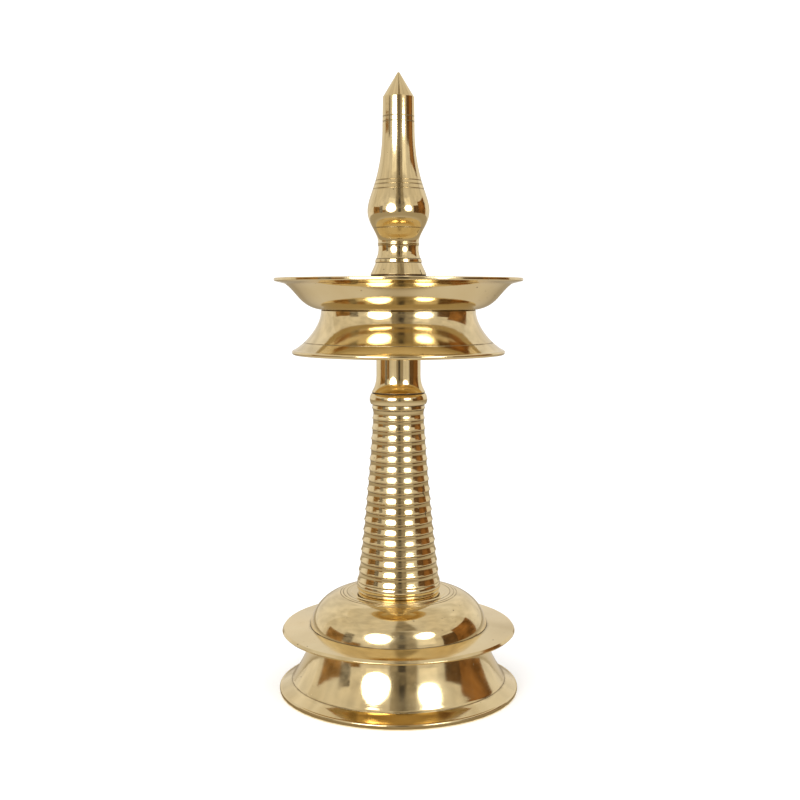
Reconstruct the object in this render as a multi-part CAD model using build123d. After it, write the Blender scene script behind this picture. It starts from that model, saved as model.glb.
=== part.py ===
from build123d import *
import math
import os

# Standing oil lamp (samai) in turned cast brass. Millimetres, +Z up, origin on the floor at the
# middle of the foot. Pieces from the floor up: foot ring, base dome, seat ring, column, collar
# washer, neck, skirt, bowl, finial washer, finial. Everything is turned about Z, and the column,
# the neck and the finial screw down into the piece below them.

# ---- foot ring: the hollow flared drum the lamp stands on ----
foot_radius = 60.0
foot_height = 29.8
foot_rim_height = 2.6
foot_rim_round = 1.0
foot_land = 3.0
waist_radius = 44.0
waist_knee_height = 19.9
foot_line_radius = 53.7
foot_line_height = 5.8
foot_wall = 2.6
foot_corner_share = 0.2
foot_inner_drop_share = 0.4

# ---- base dome: saucer flange, dome and tapped boss ----
flange_radius = 58.5
flange_edge = 2.2
flange_bevel_share = 0.4
crease_radius = 44.4
crease_rise = 3.4
dome_height = 16.1
dome_shoulder_radius = 38.8
dome_shoulder_share = 0.665
crown_radius = 24.0
crown_step = 0.3
dome_wall = 2.6
dome_inner_drop_share = 0.7
register_height = 3.0
register_wall = 2.4
base_boss_radius = 13.0
dome_line_radii = (26.0, 27.9, 29.4)

# ---- seat ring between the dome and the column ----
seat_ring_radius = 20.3
seat_ring_thickness = 1.7

# ---- column: ribbed shaft with a plain band below and a bead collar above ----
band_height = 4.1
band_radius = 21.1
shaft_foot_radius = 20.7
shaft_top_radius = 12.75
shaft_hollow_of_curve = 0.8
rib_pitch = 5.09
rib_count = 18
rib_depth = 0.42
rib_land = 0.35
rib_flare = 1.25
rib_sag_share = 0.25
rib_sag_height_share = 0.4
rib_hollow_share = 0.12
ledge_radius = 13.15
collar_height = 7.1
collar_foot_share = 0.27
collar_cove_height = 0.4
collar_bead_relief = 0.5
collar_foot_radius = 12.9
collar_bead_radius = 14.25
collar_bead_share = 0.5
collar_top_radius = 13.4
column_wall = 5.0
core_end_gap = 6.0
core_foot_share = 0.6
core_foot_taper = 3.0
core_head_taper = 2.0
column_edge_break = 0.3

# ---- washers ----
collar_washer_thickness = 0.5
collar_washer_radius = 13.0
finial_washer_thickness = 0.5
finial_washer_radius = 13.6

# ---- neck: waisted stem between the collar and the skirt ----
neck_height = 38.5
neck_foot_radius = 13.3
neck_radius = 11.0
neck_flare_height = 8.8
neck_knee_height = 3.6
neck_head_radius = 14.5
neck_head_thickness = 3.0
neck_edge_break = 0.2

# ---- skirt: inverted bell ring clamped under the bowl ----
skirt_height = 22.0
skirt_top_radius = 38.1
skirt_lip_radius = 52.5
skirt_lip_round = 1.15
skirt_wall = 2.3
skirt_line_share = 0.25
skirt_edge_break = 0.5
skirt_inner_lip_share = 0.6
bell_steep_share = 0.34
bell_turn_share = (0.47, 0.78)

# ---- bowl: oil dish with a flat rim and a raised centre boss ----
bowl_height = 15.5
bowl_radius = 61.1
bowl_rim_thickness = 1.7
bowl_rim_dish = 1.2
bowl_rim_width = 5.2
bowl_wall = 2.3
bowl_boss_radius = 14.4
bowl_boss_foot_radius = 17.5
bowl_boss_rise = 0.9
bowl_boss_foot_share = 0.3
bowl_rim_round_share = 0.2
bowl_inner_lip_share = 0.5
bowl_seat_margin = 0.5
flank_low_share = (0.57, 0.115)
flank_high_share = (0.69, 0.756)

# ---- finial ----
finial_foot_radius = 13.9
finial_foot_height = 6.0
finial_band_radius = 11.45
finial_band_height = 1.8
finial_neck_radius = 9.88
finial_neck_height = 6.6
finial_bead_radius = 10.3
finial_bead_height = 1.4
belly_height = 15.2
belly_radius = 15.22
belly_foot_radius = 10.0
spindle_height = 41.4
spindle_radius = 7.85
finial_shaft_height = 13.2
finial_shaft_radius = 7.65
finial_point_height = 11.8
finial_point_blunt = 0.45
finial_edge_break = 0.3
finial_flare_reach = 1.1
finial_flare_share = 0.5
finial_band_edge = 0.2
finial_band_lean = 0.1
finial_band_relief = 0.4
finial_neck_shares = (0.4, 0.75)
belly_foot_reach = 0.2
belly_shares = (0.33, 0.58)
spindle_shares = (0.2, 0.37)
belly_line_shares = (0.46,)
spindle_line_shares = (0.255, 0.31, 0.357)
shaft_line_shares = (0.1, 0.29)

# ---- threads: radius over the crests, pitch, and turns held in the tapped hole ----
column_thread_radius = 8.0
column_thread_pitch = 2.5
column_thread_turns = 5
neck_thread_radius = 7.0
neck_thread_pitch = 2.0
neck_thread_turns = 5
clamp_thread_radius = 6.0
clamp_thread_pitch = 2.0
clamp_thread_turns = 2.5
finial_thread_radius = 6.0
finial_thread_pitch = 2.0
finial_thread_turns = 4
thread_relief = 0.8
thread_lead_gap = 0.3
thread_foot_share = 0.4
thread_crest_share = 0.12
thread_root_overlap = 0.15
thread_clearance = 0.15
spigot_end_gap = 1.0
short_end_gap = 0.5
spigot_hole_clearance = 0.4
register_clearance = 0.1
line_radius = 0.22

# ---- heights that follow from the stack ----
flange_top = foot_height + flange_edge
crease_z = foot_height + crease_rise
dome_shoulder_z = crease_z + dome_shoulder_share * dome_height
crown_z = crease_z + dome_height
dome_top_z = crown_z + crown_step
column_foot_z = dome_top_z + seat_ring_thickness
last_rib_z = column_foot_z + band_height + rib_land
ledge_z = last_rib_z + (rib_count - 1) * rib_pitch
column_top_z = ledge_z + collar_height
neck_foot_z = column_top_z + collar_washer_thickness
skirt_top_z = neck_foot_z + neck_height + skirt_wall
skirt_lip_z = skirt_top_z - skirt_height
bowl_top_z = skirt_top_z + bowl_height
boss_top_z = bowl_top_z + bowl_boss_rise
finial_foot_z = boss_top_z + finial_washer_thickness
column_core_foot_z = column_foot_z + core_end_gap
column_core_top_z = column_top_z - neck_thread_turns * neck_thread_pitch - core_end_gap


def at(radius, height):
    """A point of an outline, drawn in the XZ plane."""
    return (radius, 0, height)


def turned(*lines):
    """The solid that a closed outline sweeps about Z."""
    edges = [edge for line in lines for edge in line.edges()]
    return revolve(Face(Wire(edges)), Axis.Z)


def rod(radius, low, high):
    """A plain cylinder on Z from one height to another."""
    align = (Align.CENTER, Align.CENTER, Align.MIN)
    return Pos(0, 0, low) * Cylinder(radius, high - low, align=align)


def scribed_line(radius, height):
    """Cutter for one fine line scribed around a turned face."""
    return Pos(0, 0, height) * Torus(radius, line_radius)


# ---- threads ----


def thread_root(radius, pitch):
    """Radius at the foot of a thread whose depth is half its pitch."""
    return radius - pitch / 2


def thread_ridge(radius, pitch, low, high, mouth, swell=0.0):
    """A right-hand ridge between two heights. mouth is the height of the face that the hole is
    tapped in: ridges with one mouth are in step, crossing the XZ plane at whole pitches from it.
    swell makes the ridge fatter, for a cutter."""
    foot = thread_root(radius, pitch) - swell - thread_root_overlap
    crest = radius + swell
    foot_half = thread_foot_share * pitch + swell
    crest_half = thread_crest_share * pitch + swell
    start = low + foot_half
    height = high - low - 2 * foot_half
    corners = ((foot, -foot_half), (crest, -crest_half), (crest, crest_half), (foot, foot_half))
    helices = [
        Edge.make_helix(pitch, height, r).moved(Location((0, 0, start + rise)))
        for r, rise in corners
    ]
    sides = [
        Face.make_surface_from_curves(helices[i], helices[(i + 1) % 4]) for i in range(4)
    ]
    ends = [
        Face(Wire.make_polygon([helix.position_at(end) for helix in helices], close=True))
        for end in (0, 1)
    ]
    ridge = Solid(Shell(sides + ends))
    return ridge.rotate(Axis.Z, 360 * (start - mouth) / pitch)


def spigot(radius, pitch, low, high, mouth):
    """A threaded spigot that hangs from its shoulder."""
    core = rod(thread_root(radius, pitch), low, high)
    ridge_low = low + thread_lead_gap
    ridge_high = high - thread_relief
    return core + thread_ridge(radius, pitch, ridge_low, ridge_high, mouth)


def upright_spigot(radius, pitch, low, high, mouth):
    """A threaded spigot that stands up from its shoulder."""
    core = rod(thread_root(radius, pitch), low, high)
    ridge_low = low + thread_relief
    ridge_high = high - thread_lead_gap
    return core + thread_ridge(radius, pitch, ridge_low, ridge_high, mouth)


def tapped_hole(radius, pitch, low, high, mouth_up=True):
    """Cutter for the blind hole that a spigot of the same thread screws into."""
    bore = rod(thread_root(radius, pitch) + thread_clearance, low, high)
    mouth = high if mouth_up else low
    ridge_low = low if mouth_up else low - pitch
    ridge_high = high + pitch if mouth_up else high
    return bore + thread_ridge(radius, pitch, ridge_low, ridge_high, mouth, thread_clearance)


# ---- base ----


def make_foot_ring():
    neck_bore = waist_radius - foot_wall
    rim_side = foot_radius - foot_rim_round
    corner = foot_corner_share * foot_rim_round
    inner_line_z = foot_line_height - foot_inner_drop_share * foot_wall
    inner_line = at(foot_line_radius - foot_wall, inner_line_z)
    outside = [
        Polyline(
            at(foot_radius - foot_land, 0),
            at(foot_radius - corner, 0),
            at(foot_radius, corner),
            at(foot_radius, foot_rim_height - foot_rim_round),
        ),
        Bezier(
            at(foot_radius, foot_rim_height - foot_rim_round),
            at(foot_radius, foot_rim_height),
            at(rim_side, foot_rim_height),
        ),
        Line(at(rim_side, foot_rim_height), at(foot_line_radius, foot_line_height)),
        Bezier(
            at(foot_line_radius, foot_line_height),
            at(waist_radius, waist_knee_height),
            at(waist_radius, foot_height),
        ),
    ]
    inside = [
        Line(at(waist_radius, foot_height), at(neck_bore, foot_height)),
        Bezier(
            at(neck_bore, foot_height),
            at(neck_bore, waist_knee_height),
            inner_line,
        ),
        Line(inner_line, at(foot_radius - foot_land, 0)),
    ]
    body = turned(*outside, *inside)
    return body - scribed_line(foot_line_radius, foot_line_height)


def make_base_dome():
    register_radius = waist_radius - foot_wall - register_clearance
    register_bore = register_radius - register_wall
    register_z = foot_height - register_height
    boss_foot_z = dome_top_z - column_thread_turns * column_thread_pitch - spigot_end_gap
    boss_foot_z -= dome_wall
    inner_crown_z = crown_z - dome_wall
    inner_drop = dome_inner_drop_share * dome_wall
    inner_shoulder = at(dome_shoulder_radius - dome_wall, dome_shoulder_z - inner_drop)
    flange_bevel = flange_bevel_share * flange_edge
    flange_side = flange_radius - flange_bevel
    outside = [
        Polyline(
            at(register_radius, register_z),
            at(register_radius, foot_height),
            at(flange_side, foot_height),
            at(flange_radius, foot_height + flange_bevel),
            at(flange_side, flange_top),
            at(crease_radius, crease_z),
        ),
        ThreePointArc(
            at(crease_radius, crease_z),
            at(dome_shoulder_radius, dome_shoulder_z),
            at(crown_radius, crown_z),
        ),
        Polyline(
            at(crown_radius, crown_z),
            at(crown_radius - crown_step, dome_top_z),
            at(0, dome_top_z),
            at(0, boss_foot_z),
            at(base_boss_radius, boss_foot_z),
            at(base_boss_radius, inner_crown_z),
            at(crown_radius - dome_wall, inner_crown_z),
        ),
        ThreePointArc(
            at(crown_radius - dome_wall, inner_crown_z),
            inner_shoulder,
            at(register_bore, foot_height),
        ),
        Polyline(
            at(register_bore, foot_height),
            at(register_bore, register_z),
            at(register_radius, register_z),
        ),
    ]
    body = turned(*outside)
    hole_foot_z = boss_foot_z + dome_wall
    body -= tapped_hole(column_thread_radius, column_thread_pitch, hole_foot_z, dome_top_z)
    for radius in dome_line_radii:
        body -= scribed_line(radius, dome_height_at(radius))
    return body


def dome_height_at(radius):
    """Height of the dome's outside at a radius, on the arc through its crease and its crown."""
    arc = ThreePointArc(
        at(crease_radius, crease_z),
        at(dome_shoulder_radius, dome_shoulder_z),
        at(crown_radius, crown_z),
    )
    centre = arc.arc_center
    return centre.Z + math.sqrt(arc.radius**2 - (radius - centre.X) ** 2)


def make_seat_ring():
    ring = rod(seat_ring_radius, dome_top_z, column_foot_z)
    hole = rod(column_thread_radius + spigot_hole_clearance, dome_top_z, column_foot_z)
    return ring - hole


# ---- column ----


def crest_radius(height):
    """Radius over a rib's crest: a straight taper, drawn in to a slight hollow curve."""
    share = (height - last_rib_z) / (ledge_z - last_rib_z)
    straight = shaft_foot_radius + (shaft_top_radius - shaft_foot_radius) * share
    return straight - 4 * shaft_hollow_of_curve * share * (1 - share)


def rib_lines(crest_z, radius_above):
    """One rib from its undercut up to the band above it, and where that band ends."""
    radius = crest_radius(crest_z)
    waist = radius - rib_depth
    under = at(waist, crest_z - 2 * rib_land)
    low = at(radius, crest_z - rib_land)
    crest = at(radius, crest_z)
    flare_end = at(waist - rib_hollow_share * rib_depth, crest_z + rib_flare)
    flare_middle_z = crest_z + rib_sag_height_share * rib_flare
    flare_middle = at(waist + rib_sag_share * rib_depth, flare_middle_z)
    band_top = at(radius_above - rib_depth, crest_z + rib_pitch - 2 * rib_land)
    return [
        Polyline(under, low, crest),
        ThreePointArc(crest, flare_middle, flare_end),
        Line(flare_end, band_top),
    ]


def make_column():
    spigot_foot_z = dome_top_z - column_thread_turns * column_thread_pitch
    band_top_z = column_foot_z + band_height
    ledge_under_z = ledge_z - 2 * rib_land
    first_waist = crest_radius(last_rib_z) - rib_depth
    lines = [
        Polyline(
            at(0, column_foot_z),
            at(band_radius - column_edge_break, column_foot_z),
            at(band_radius, column_foot_z + column_edge_break),
            at(band_radius - column_edge_break, band_top_z - rib_land),
            at(first_waist, last_rib_z - 2 * rib_land),
        )
    ]
    for number in range(rib_count - 1):
        crest_z = last_rib_z + number * rib_pitch
        is_last = number == rib_count - 2
        radius_above = ledge_radius if is_last else crest_radius(crest_z + rib_pitch)
        lines += rib_lines(crest_z, radius_above)
    collar_foot_z = ledge_z + collar_foot_share * collar_height
    lines += [
        Polyline(
            at(ledge_radius - rib_depth, ledge_under_z),
            at(ledge_radius, ledge_z - rib_land),
            at(ledge_radius, ledge_z),
            at(collar_foot_radius, collar_foot_z - collar_cove_height),
            at(collar_bead_radius - collar_bead_relief, collar_foot_z),
        ),
        ThreePointArc(
            at(collar_bead_radius - collar_bead_relief, collar_foot_z),
            at(collar_bead_radius, ledge_z + collar_bead_share * collar_height),
            at(collar_top_radius, column_top_z),
        ),
        Polyline(at(collar_top_radius, column_top_z), at(0, column_top_z), at(0, column_foot_z)),
    ]
    body = turned(*lines)
    body += spigot(
        column_thread_radius, column_thread_pitch, spigot_foot_z, column_foot_z, dome_top_z
    )
    body -= column_core()
    socket_foot_z = column_top_z - neck_thread_turns * neck_thread_pitch - spigot_end_gap
    return body - tapped_hole(neck_thread_radius, neck_thread_pitch, socket_foot_z, column_top_z)


def column_core():
    """The cored hollow of the shaft, open upwards into the tapped socket."""
    socket_bore = thread_root(neck_thread_radius, neck_thread_pitch) + thread_clearance
    foot = crest_radius(column_core_foot_z) - column_wall
    head = crest_radius(column_core_top_z) - column_wall
    shoulder_z = column_core_foot_z + core_foot_taper
    return turned(
        Polyline(
            at(0, column_core_foot_z),
            at(core_foot_share * foot, column_core_foot_z),
            at(foot, shoulder_z),
            at(head, column_core_top_z),
            at(socket_bore, column_core_top_z + core_head_taper),
            at(socket_bore, column_top_z - spigot_end_gap),
            at(0, column_top_z - spigot_end_gap),
            at(0, column_core_foot_z),
        )
    )


def make_collar_washer():
    ring = rod(collar_washer_radius, column_top_z, neck_foot_z)
    hole = rod(neck_thread_radius + spigot_hole_clearance, column_top_z, neck_foot_z)
    return ring - hole


# ---- bowl assembly: neck, skirt and bowl ----


def make_neck():
    head_z = neck_foot_z + neck_height
    head_foot_z = head_z - neck_head_thickness
    lines = [
        Polyline(
            at(0, neck_foot_z),
            at(neck_foot_radius - neck_edge_break, neck_foot_z),
            at(neck_foot_radius, neck_foot_z + neck_edge_break),
        ),
        Bezier(
            at(neck_foot_radius, neck_foot_z + neck_edge_break),
            at(neck_radius, neck_foot_z + neck_knee_height),
            at(neck_radius, neck_foot_z + neck_flare_height),
        ),
        Polyline(
            at(neck_radius, neck_foot_z + neck_flare_height),
            at(neck_radius, head_foot_z - (neck_head_radius - neck_radius)),
            at(neck_head_radius, head_foot_z),
            at(neck_head_radius, head_z),
            at(0, head_z),
            at(0, neck_foot_z),
        ),
    ]
    low_spigot_z = column_top_z - neck_thread_turns * neck_thread_pitch
    body = turned(*lines)
    body += spigot(neck_thread_radius, neck_thread_pitch, low_spigot_z, neck_foot_z, column_top_z)
    clamp_top_z = skirt_top_z + clamp_thread_turns * clamp_thread_pitch
    return body + upright_spigot(
        clamp_thread_radius, clamp_thread_pitch, head_z, clamp_top_z, skirt_top_z
    )


def bell_side(top_radius, top_z, lip_radius, lip_z):
    """The hollow flank of the skirt, steep at the top and nearly flat at the lip."""
    run = lip_radius - top_radius
    drop = top_z - lip_z
    turn_out, turn_down = bell_turn_share
    return Bezier(
        at(top_radius, top_z),
        at(top_radius, top_z - bell_steep_share * drop),
        at(top_radius + turn_out * run, top_z - turn_down * drop),
        at(lip_radius, lip_z),
    )


def make_skirt():
    outer_top_z = skirt_top_z - skirt_edge_break
    lip_top_z = skirt_lip_z + 2 * skirt_lip_round
    lip_side = skirt_lip_radius - skirt_lip_round
    web_foot_z = skirt_top_z - skirt_wall
    inner_top = skirt_top_radius - skirt_wall
    inner_lip = lip_side - skirt_inner_lip_share * skirt_wall
    outer = bell_side(skirt_top_radius, outer_top_z, lip_side, lip_top_z)
    inner = bell_side(inner_top, web_foot_z, inner_lip, skirt_lip_z)
    body = turned(
        Polyline(
            at(0, skirt_top_z),
            at(skirt_top_radius - skirt_edge_break, skirt_top_z),
            at(skirt_top_radius, outer_top_z),
        ),
        outer,
        ThreePointArc(
            at(lip_side, lip_top_z),
            at(skirt_lip_radius, skirt_lip_z + skirt_lip_round),
            at(lip_side, skirt_lip_z),
        ),
        Line(at(lip_side, skirt_lip_z), at(inner_lip, skirt_lip_z)),
        inner,
        Polyline(at(inner_top, web_foot_z), at(0, web_foot_z), at(0, skirt_top_z)),
    )
    body -= rod(clamp_thread_radius + spigot_hole_clearance, web_foot_z, skirt_top_z)
    line_at = outer.position_at(1 - skirt_line_share)
    return body - scribed_line(line_at.X, line_at.Z)


def bowl_flank(floor_radius, floor_z, lip_radius, lip_z):
    """The side of the dish, from its flat floor round the belly and out under the lip."""
    rise = lip_z - floor_z
    run = lip_radius - floor_radius
    low_out, low_up = flank_low_share
    high_out, high_up = flank_high_share
    return Bezier(
        at(floor_radius, floor_z),
        at(floor_radius + low_out * run, floor_z + low_up * rise),
        at(floor_radius + high_out * run, floor_z + high_up * rise),
        at(lip_radius, lip_z),
    )


def make_bowl():
    rim_foot_z = bowl_top_z - bowl_rim_thickness
    rim_round = bowl_rim_round_share * bowl_rim_thickness
    lip_radius = bowl_radius - bowl_rim_width
    lip_foot_z = rim_foot_z - bowl_rim_dish
    inner_lip_radius = lip_radius - bowl_inner_lip_share * bowl_wall
    inner_lip_z = bowl_top_z - bowl_rim_dish
    flat_radius = skirt_top_radius + bowl_seat_margin
    floor_z = skirt_top_z + bowl_wall
    lines = [
        Line(at(0, skirt_top_z), at(flat_radius, skirt_top_z)),
        bowl_flank(flat_radius, skirt_top_z, lip_radius, lip_foot_z),
        Polyline(
            at(lip_radius, lip_foot_z),
            at(bowl_radius - rim_round, rim_foot_z),
            at(bowl_radius, rim_foot_z + rim_round),
            at(bowl_radius, bowl_top_z - rim_round),
            at(bowl_radius - rim_round, bowl_top_z),
            at(inner_lip_radius, inner_lip_z),
        ),
        bowl_flank(flat_radius - bowl_wall, floor_z, inner_lip_radius, inner_lip_z),
        Line(at(flat_radius - bowl_wall, floor_z), at(bowl_boss_foot_radius, floor_z)),
        Bezier(
            at(bowl_boss_foot_radius, floor_z),
            at(bowl_boss_radius, floor_z + bowl_boss_foot_share * bowl_height),
            at(bowl_boss_radius, boss_top_z),
        ),
        Polyline(at(bowl_boss_radius, boss_top_z), at(0, boss_top_z), at(0, skirt_top_z)),
    ]
    body = turned(*lines)
    clamp_hole_z = skirt_top_z + clamp_thread_turns * clamp_thread_pitch + short_end_gap
    body -= tapped_hole(
        clamp_thread_radius, clamp_thread_pitch, skirt_top_z, clamp_hole_z, mouth_up=False
    )
    finial_hole_z = boss_top_z - finial_thread_turns * finial_thread_pitch - short_end_gap
    return body - tapped_hole(finial_thread_radius, finial_thread_pitch, finial_hole_z, boss_top_z)


# ---- finial ----


def make_finial_washer():
    ring = rod(finial_washer_radius, boss_top_z, finial_foot_z)
    hole = rod(finial_thread_radius + spigot_hole_clearance, boss_top_z, finial_foot_z)
    return ring - hole


def belly_curve(foot_z, top_z):
    """The under side of the belly, from the bead up to its widest ring."""
    height = top_z - foot_z
    low, high = belly_shares
    return Bezier(
        at(belly_foot_radius, foot_z),
        at(belly_foot_radius + belly_foot_reach, foot_z + low * height),
        at(belly_radius, foot_z + high * height),
        at(belly_radius, top_z),
    )


def spindle_curve(foot_z, top_z):
    """The long hollow sweep from the belly's widest ring up to the slim shaft."""
    height = top_z - foot_z
    low, high = spindle_shares
    return Bezier(
        at(belly_radius, foot_z),
        at(belly_radius, foot_z + low * height),
        at(spindle_radius, foot_z + high * height),
        at(spindle_radius, top_z),
    )


def finial_foot_lines(band_z, neck_z, bead_z):
    """The finial's flared foot, its flat band and its hollow neck."""
    band_foot = finial_band_radius - finial_band_edge
    band_top = finial_band_radius - finial_band_relief
    flare_z = finial_foot_z + finial_flare_share * finial_foot_height
    low, high = finial_neck_shares
    return [
        Polyline(
            at(0, finial_foot_z),
            at(finial_foot_radius - finial_edge_break, finial_foot_z),
            at(finial_foot_radius, finial_foot_z + finial_edge_break),
        ),
        Bezier(
            at(finial_foot_radius, finial_foot_z + finial_edge_break),
            at(finial_band_radius + finial_flare_reach, flare_z),
            at(band_foot, band_z),
        ),
        Polyline(
            at(band_foot, band_z),
            at(finial_band_radius + finial_band_lean, band_z + finial_band_edge),
            at(finial_band_radius - finial_band_lean, neck_z - finial_band_edge),
            at(band_top, neck_z),
        ),
        Bezier(
            at(band_top, neck_z),
            at(finial_neck_radius, neck_z + low * finial_neck_height),
            at(finial_neck_radius - finial_band_lean, neck_z + high * finial_neck_height),
            at(belly_foot_radius, bead_z),
        ),
    ]


def make_finial():
    band_z = finial_foot_z + finial_foot_height
    neck_z = band_z + finial_band_height
    bead_z = neck_z + finial_neck_height
    belly_foot_z = bead_z + finial_bead_height
    belly_z = belly_foot_z + belly_height
    spindle_z = belly_z + spindle_height
    point_z = spindle_z + finial_shaft_height
    tip_z = point_z + finial_point_height
    belly = belly_curve(belly_foot_z, belly_z)
    spindle = spindle_curve(belly_z, spindle_z)
    shaft = Line(at(spindle_radius, spindle_z), at(finial_shaft_radius, point_z))
    body = turned(
        *finial_foot_lines(band_z, neck_z, bead_z),
        Polyline(
            at(belly_foot_radius, bead_z),
            at(finial_bead_radius, bead_z + finial_band_edge),
            at(finial_bead_radius, belly_foot_z - finial_edge_break),
            at(belly_foot_radius, belly_foot_z),
        ),
        belly,
        spindle,
        shaft,
        Polyline(
            at(finial_shaft_radius, point_z),
            at(finial_point_blunt, tip_z),
            at(0, tip_z),
            at(0, finial_foot_z),
        ),
    )
    body -= scribed_line(finial_bead_radius, bead_z + 0.5 * finial_bead_height)
    for curve, shares in (
        (belly, belly_line_shares),
        (spindle, spindle_line_shares),
        (shaft, shaft_line_shares),
    ):
        for share in shares:
            place = curve.position_at(share)
            body -= scribed_line(place.X, place.Z)
    spigot_foot_z = boss_top_z - finial_thread_turns * finial_thread_pitch
    return body + spigot(
        finial_thread_radius, finial_thread_pitch, spigot_foot_z, finial_foot_z, boss_top_z
    )


# ---- the set of pieces ----

MAKERS = {
    "foot_ring": make_foot_ring,
    "base_dome": make_base_dome,
    "seat_ring": make_seat_ring,
    "column": make_column,
    "collar_washer": make_collar_washer,
    "neck": make_neck,
    "skirt": make_skirt,
    "bowl": make_bowl,
    "finial_washer": make_finial_washer,
    "finial": make_finial,
}

os.makedirs("parts", exist_ok=True)
for name, make in MAKERS.items():
    piece = make()
    export_step(piece, f"parts/{name}.step")
    size = piece.bounding_box()
    print(f"{name}: {piece.volume / 1000:.1f} cm3, z {size.min.Z:.1f} to {size.max.Z:.1f}")
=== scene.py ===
# %% [markdown]
# # A standing brass oil lamp, finished for its picture
#
# A samai is a lamp that stands on the floor of a shrine. It is cast in brass, turned bright on a
# lathe, and made in pieces that screw together: a base, a ribbed column, an oil dish on a neck and
# a pointed finial. The engineering model already holds every piece at its true size. This lesson
# gives the pieces the smooth skin, the fine lines and the finish of the real thing.

# %% Load the engineering model
import math

import bmesh
import bpy
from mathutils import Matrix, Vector


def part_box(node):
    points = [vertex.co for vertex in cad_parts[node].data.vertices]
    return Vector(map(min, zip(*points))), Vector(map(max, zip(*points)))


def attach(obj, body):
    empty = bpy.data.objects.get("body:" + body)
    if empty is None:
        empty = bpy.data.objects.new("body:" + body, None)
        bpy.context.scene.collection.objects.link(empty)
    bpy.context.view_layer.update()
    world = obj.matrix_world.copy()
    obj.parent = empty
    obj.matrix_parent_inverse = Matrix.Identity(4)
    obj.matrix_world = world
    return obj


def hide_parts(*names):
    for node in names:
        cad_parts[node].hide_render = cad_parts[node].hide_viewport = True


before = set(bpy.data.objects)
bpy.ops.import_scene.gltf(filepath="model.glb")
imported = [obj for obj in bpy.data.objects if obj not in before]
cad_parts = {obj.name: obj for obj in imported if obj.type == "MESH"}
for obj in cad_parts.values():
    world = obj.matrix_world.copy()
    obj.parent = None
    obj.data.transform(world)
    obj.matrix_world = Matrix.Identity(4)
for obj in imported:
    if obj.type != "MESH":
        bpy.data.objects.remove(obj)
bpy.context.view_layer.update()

MM = 0.001


def placed(name, data):
    """A new object that holds some data, linked into the scene."""
    made = bpy.data.objects.new(name, data)
    bpy.context.scene.collection.objects.link(made)
    return made


def heights(node):
    """The lowest and highest height of an engineering piece, in millimetres."""
    low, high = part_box(node)
    return low.z / MM, high.z / MM


def widest(node):
    """The largest radius of an engineering piece about the lamp's axis, in millimetres."""
    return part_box(node)[1].x / MM


lamp_height = heights("finial")[1]
print("pieces:", sorted(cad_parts), "lamp height", round(lamp_height, 2), "mm")

# %% [markdown]
# ## The camera
#
# The camera stands a little over half a metre in front of the lamp, level with the oil dish, and
# looks slightly down, so that the dish is seen almost edge on and the base from above. Blender's
# camera looks along its own -Z, so a turn of 90 degrees about X makes it look level, and the pitch
# is taken off that. A picture 1136 focal units wide on an 800 unit frame is a lens of 51 mm.

# %% Place the camera
camera_distance = 561.4
camera_height = 0.652 * lamp_height
camera_aside = 0.74
camera_pitch = 5.39

camera_data = bpy.data.cameras.new("front_camera")
camera_data.sensor_width = 36.0
camera_data.lens = 51.12
camera = placed("front_camera", camera_data)
camera.location = (camera_aside * MM, -camera_distance * MM, camera_height * MM)
camera.rotation_euler = (math.radians(90.0 - camera_pitch), 0.0, 0.0)
bpy.context.scene.camera = camera
print("camera at", [round(x, 4) for x in camera.location], "lens", camera_data.lens, "mm")

# %% [markdown]
# ## A small helper for node trees
#
# Materials and Geometry Nodes are both trees of nodes. Wiring them one line at a time hides the
# idea, so this helper adds a node, sets its options and feeds its inputs in one call. An input may
# be given a plain number or the output of another node. Some nodes keep several inputs of one name
# and show only the one that fits their data type, so the helper picks the one that is enabled.

# %% Wire nodes with short calls


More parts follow.
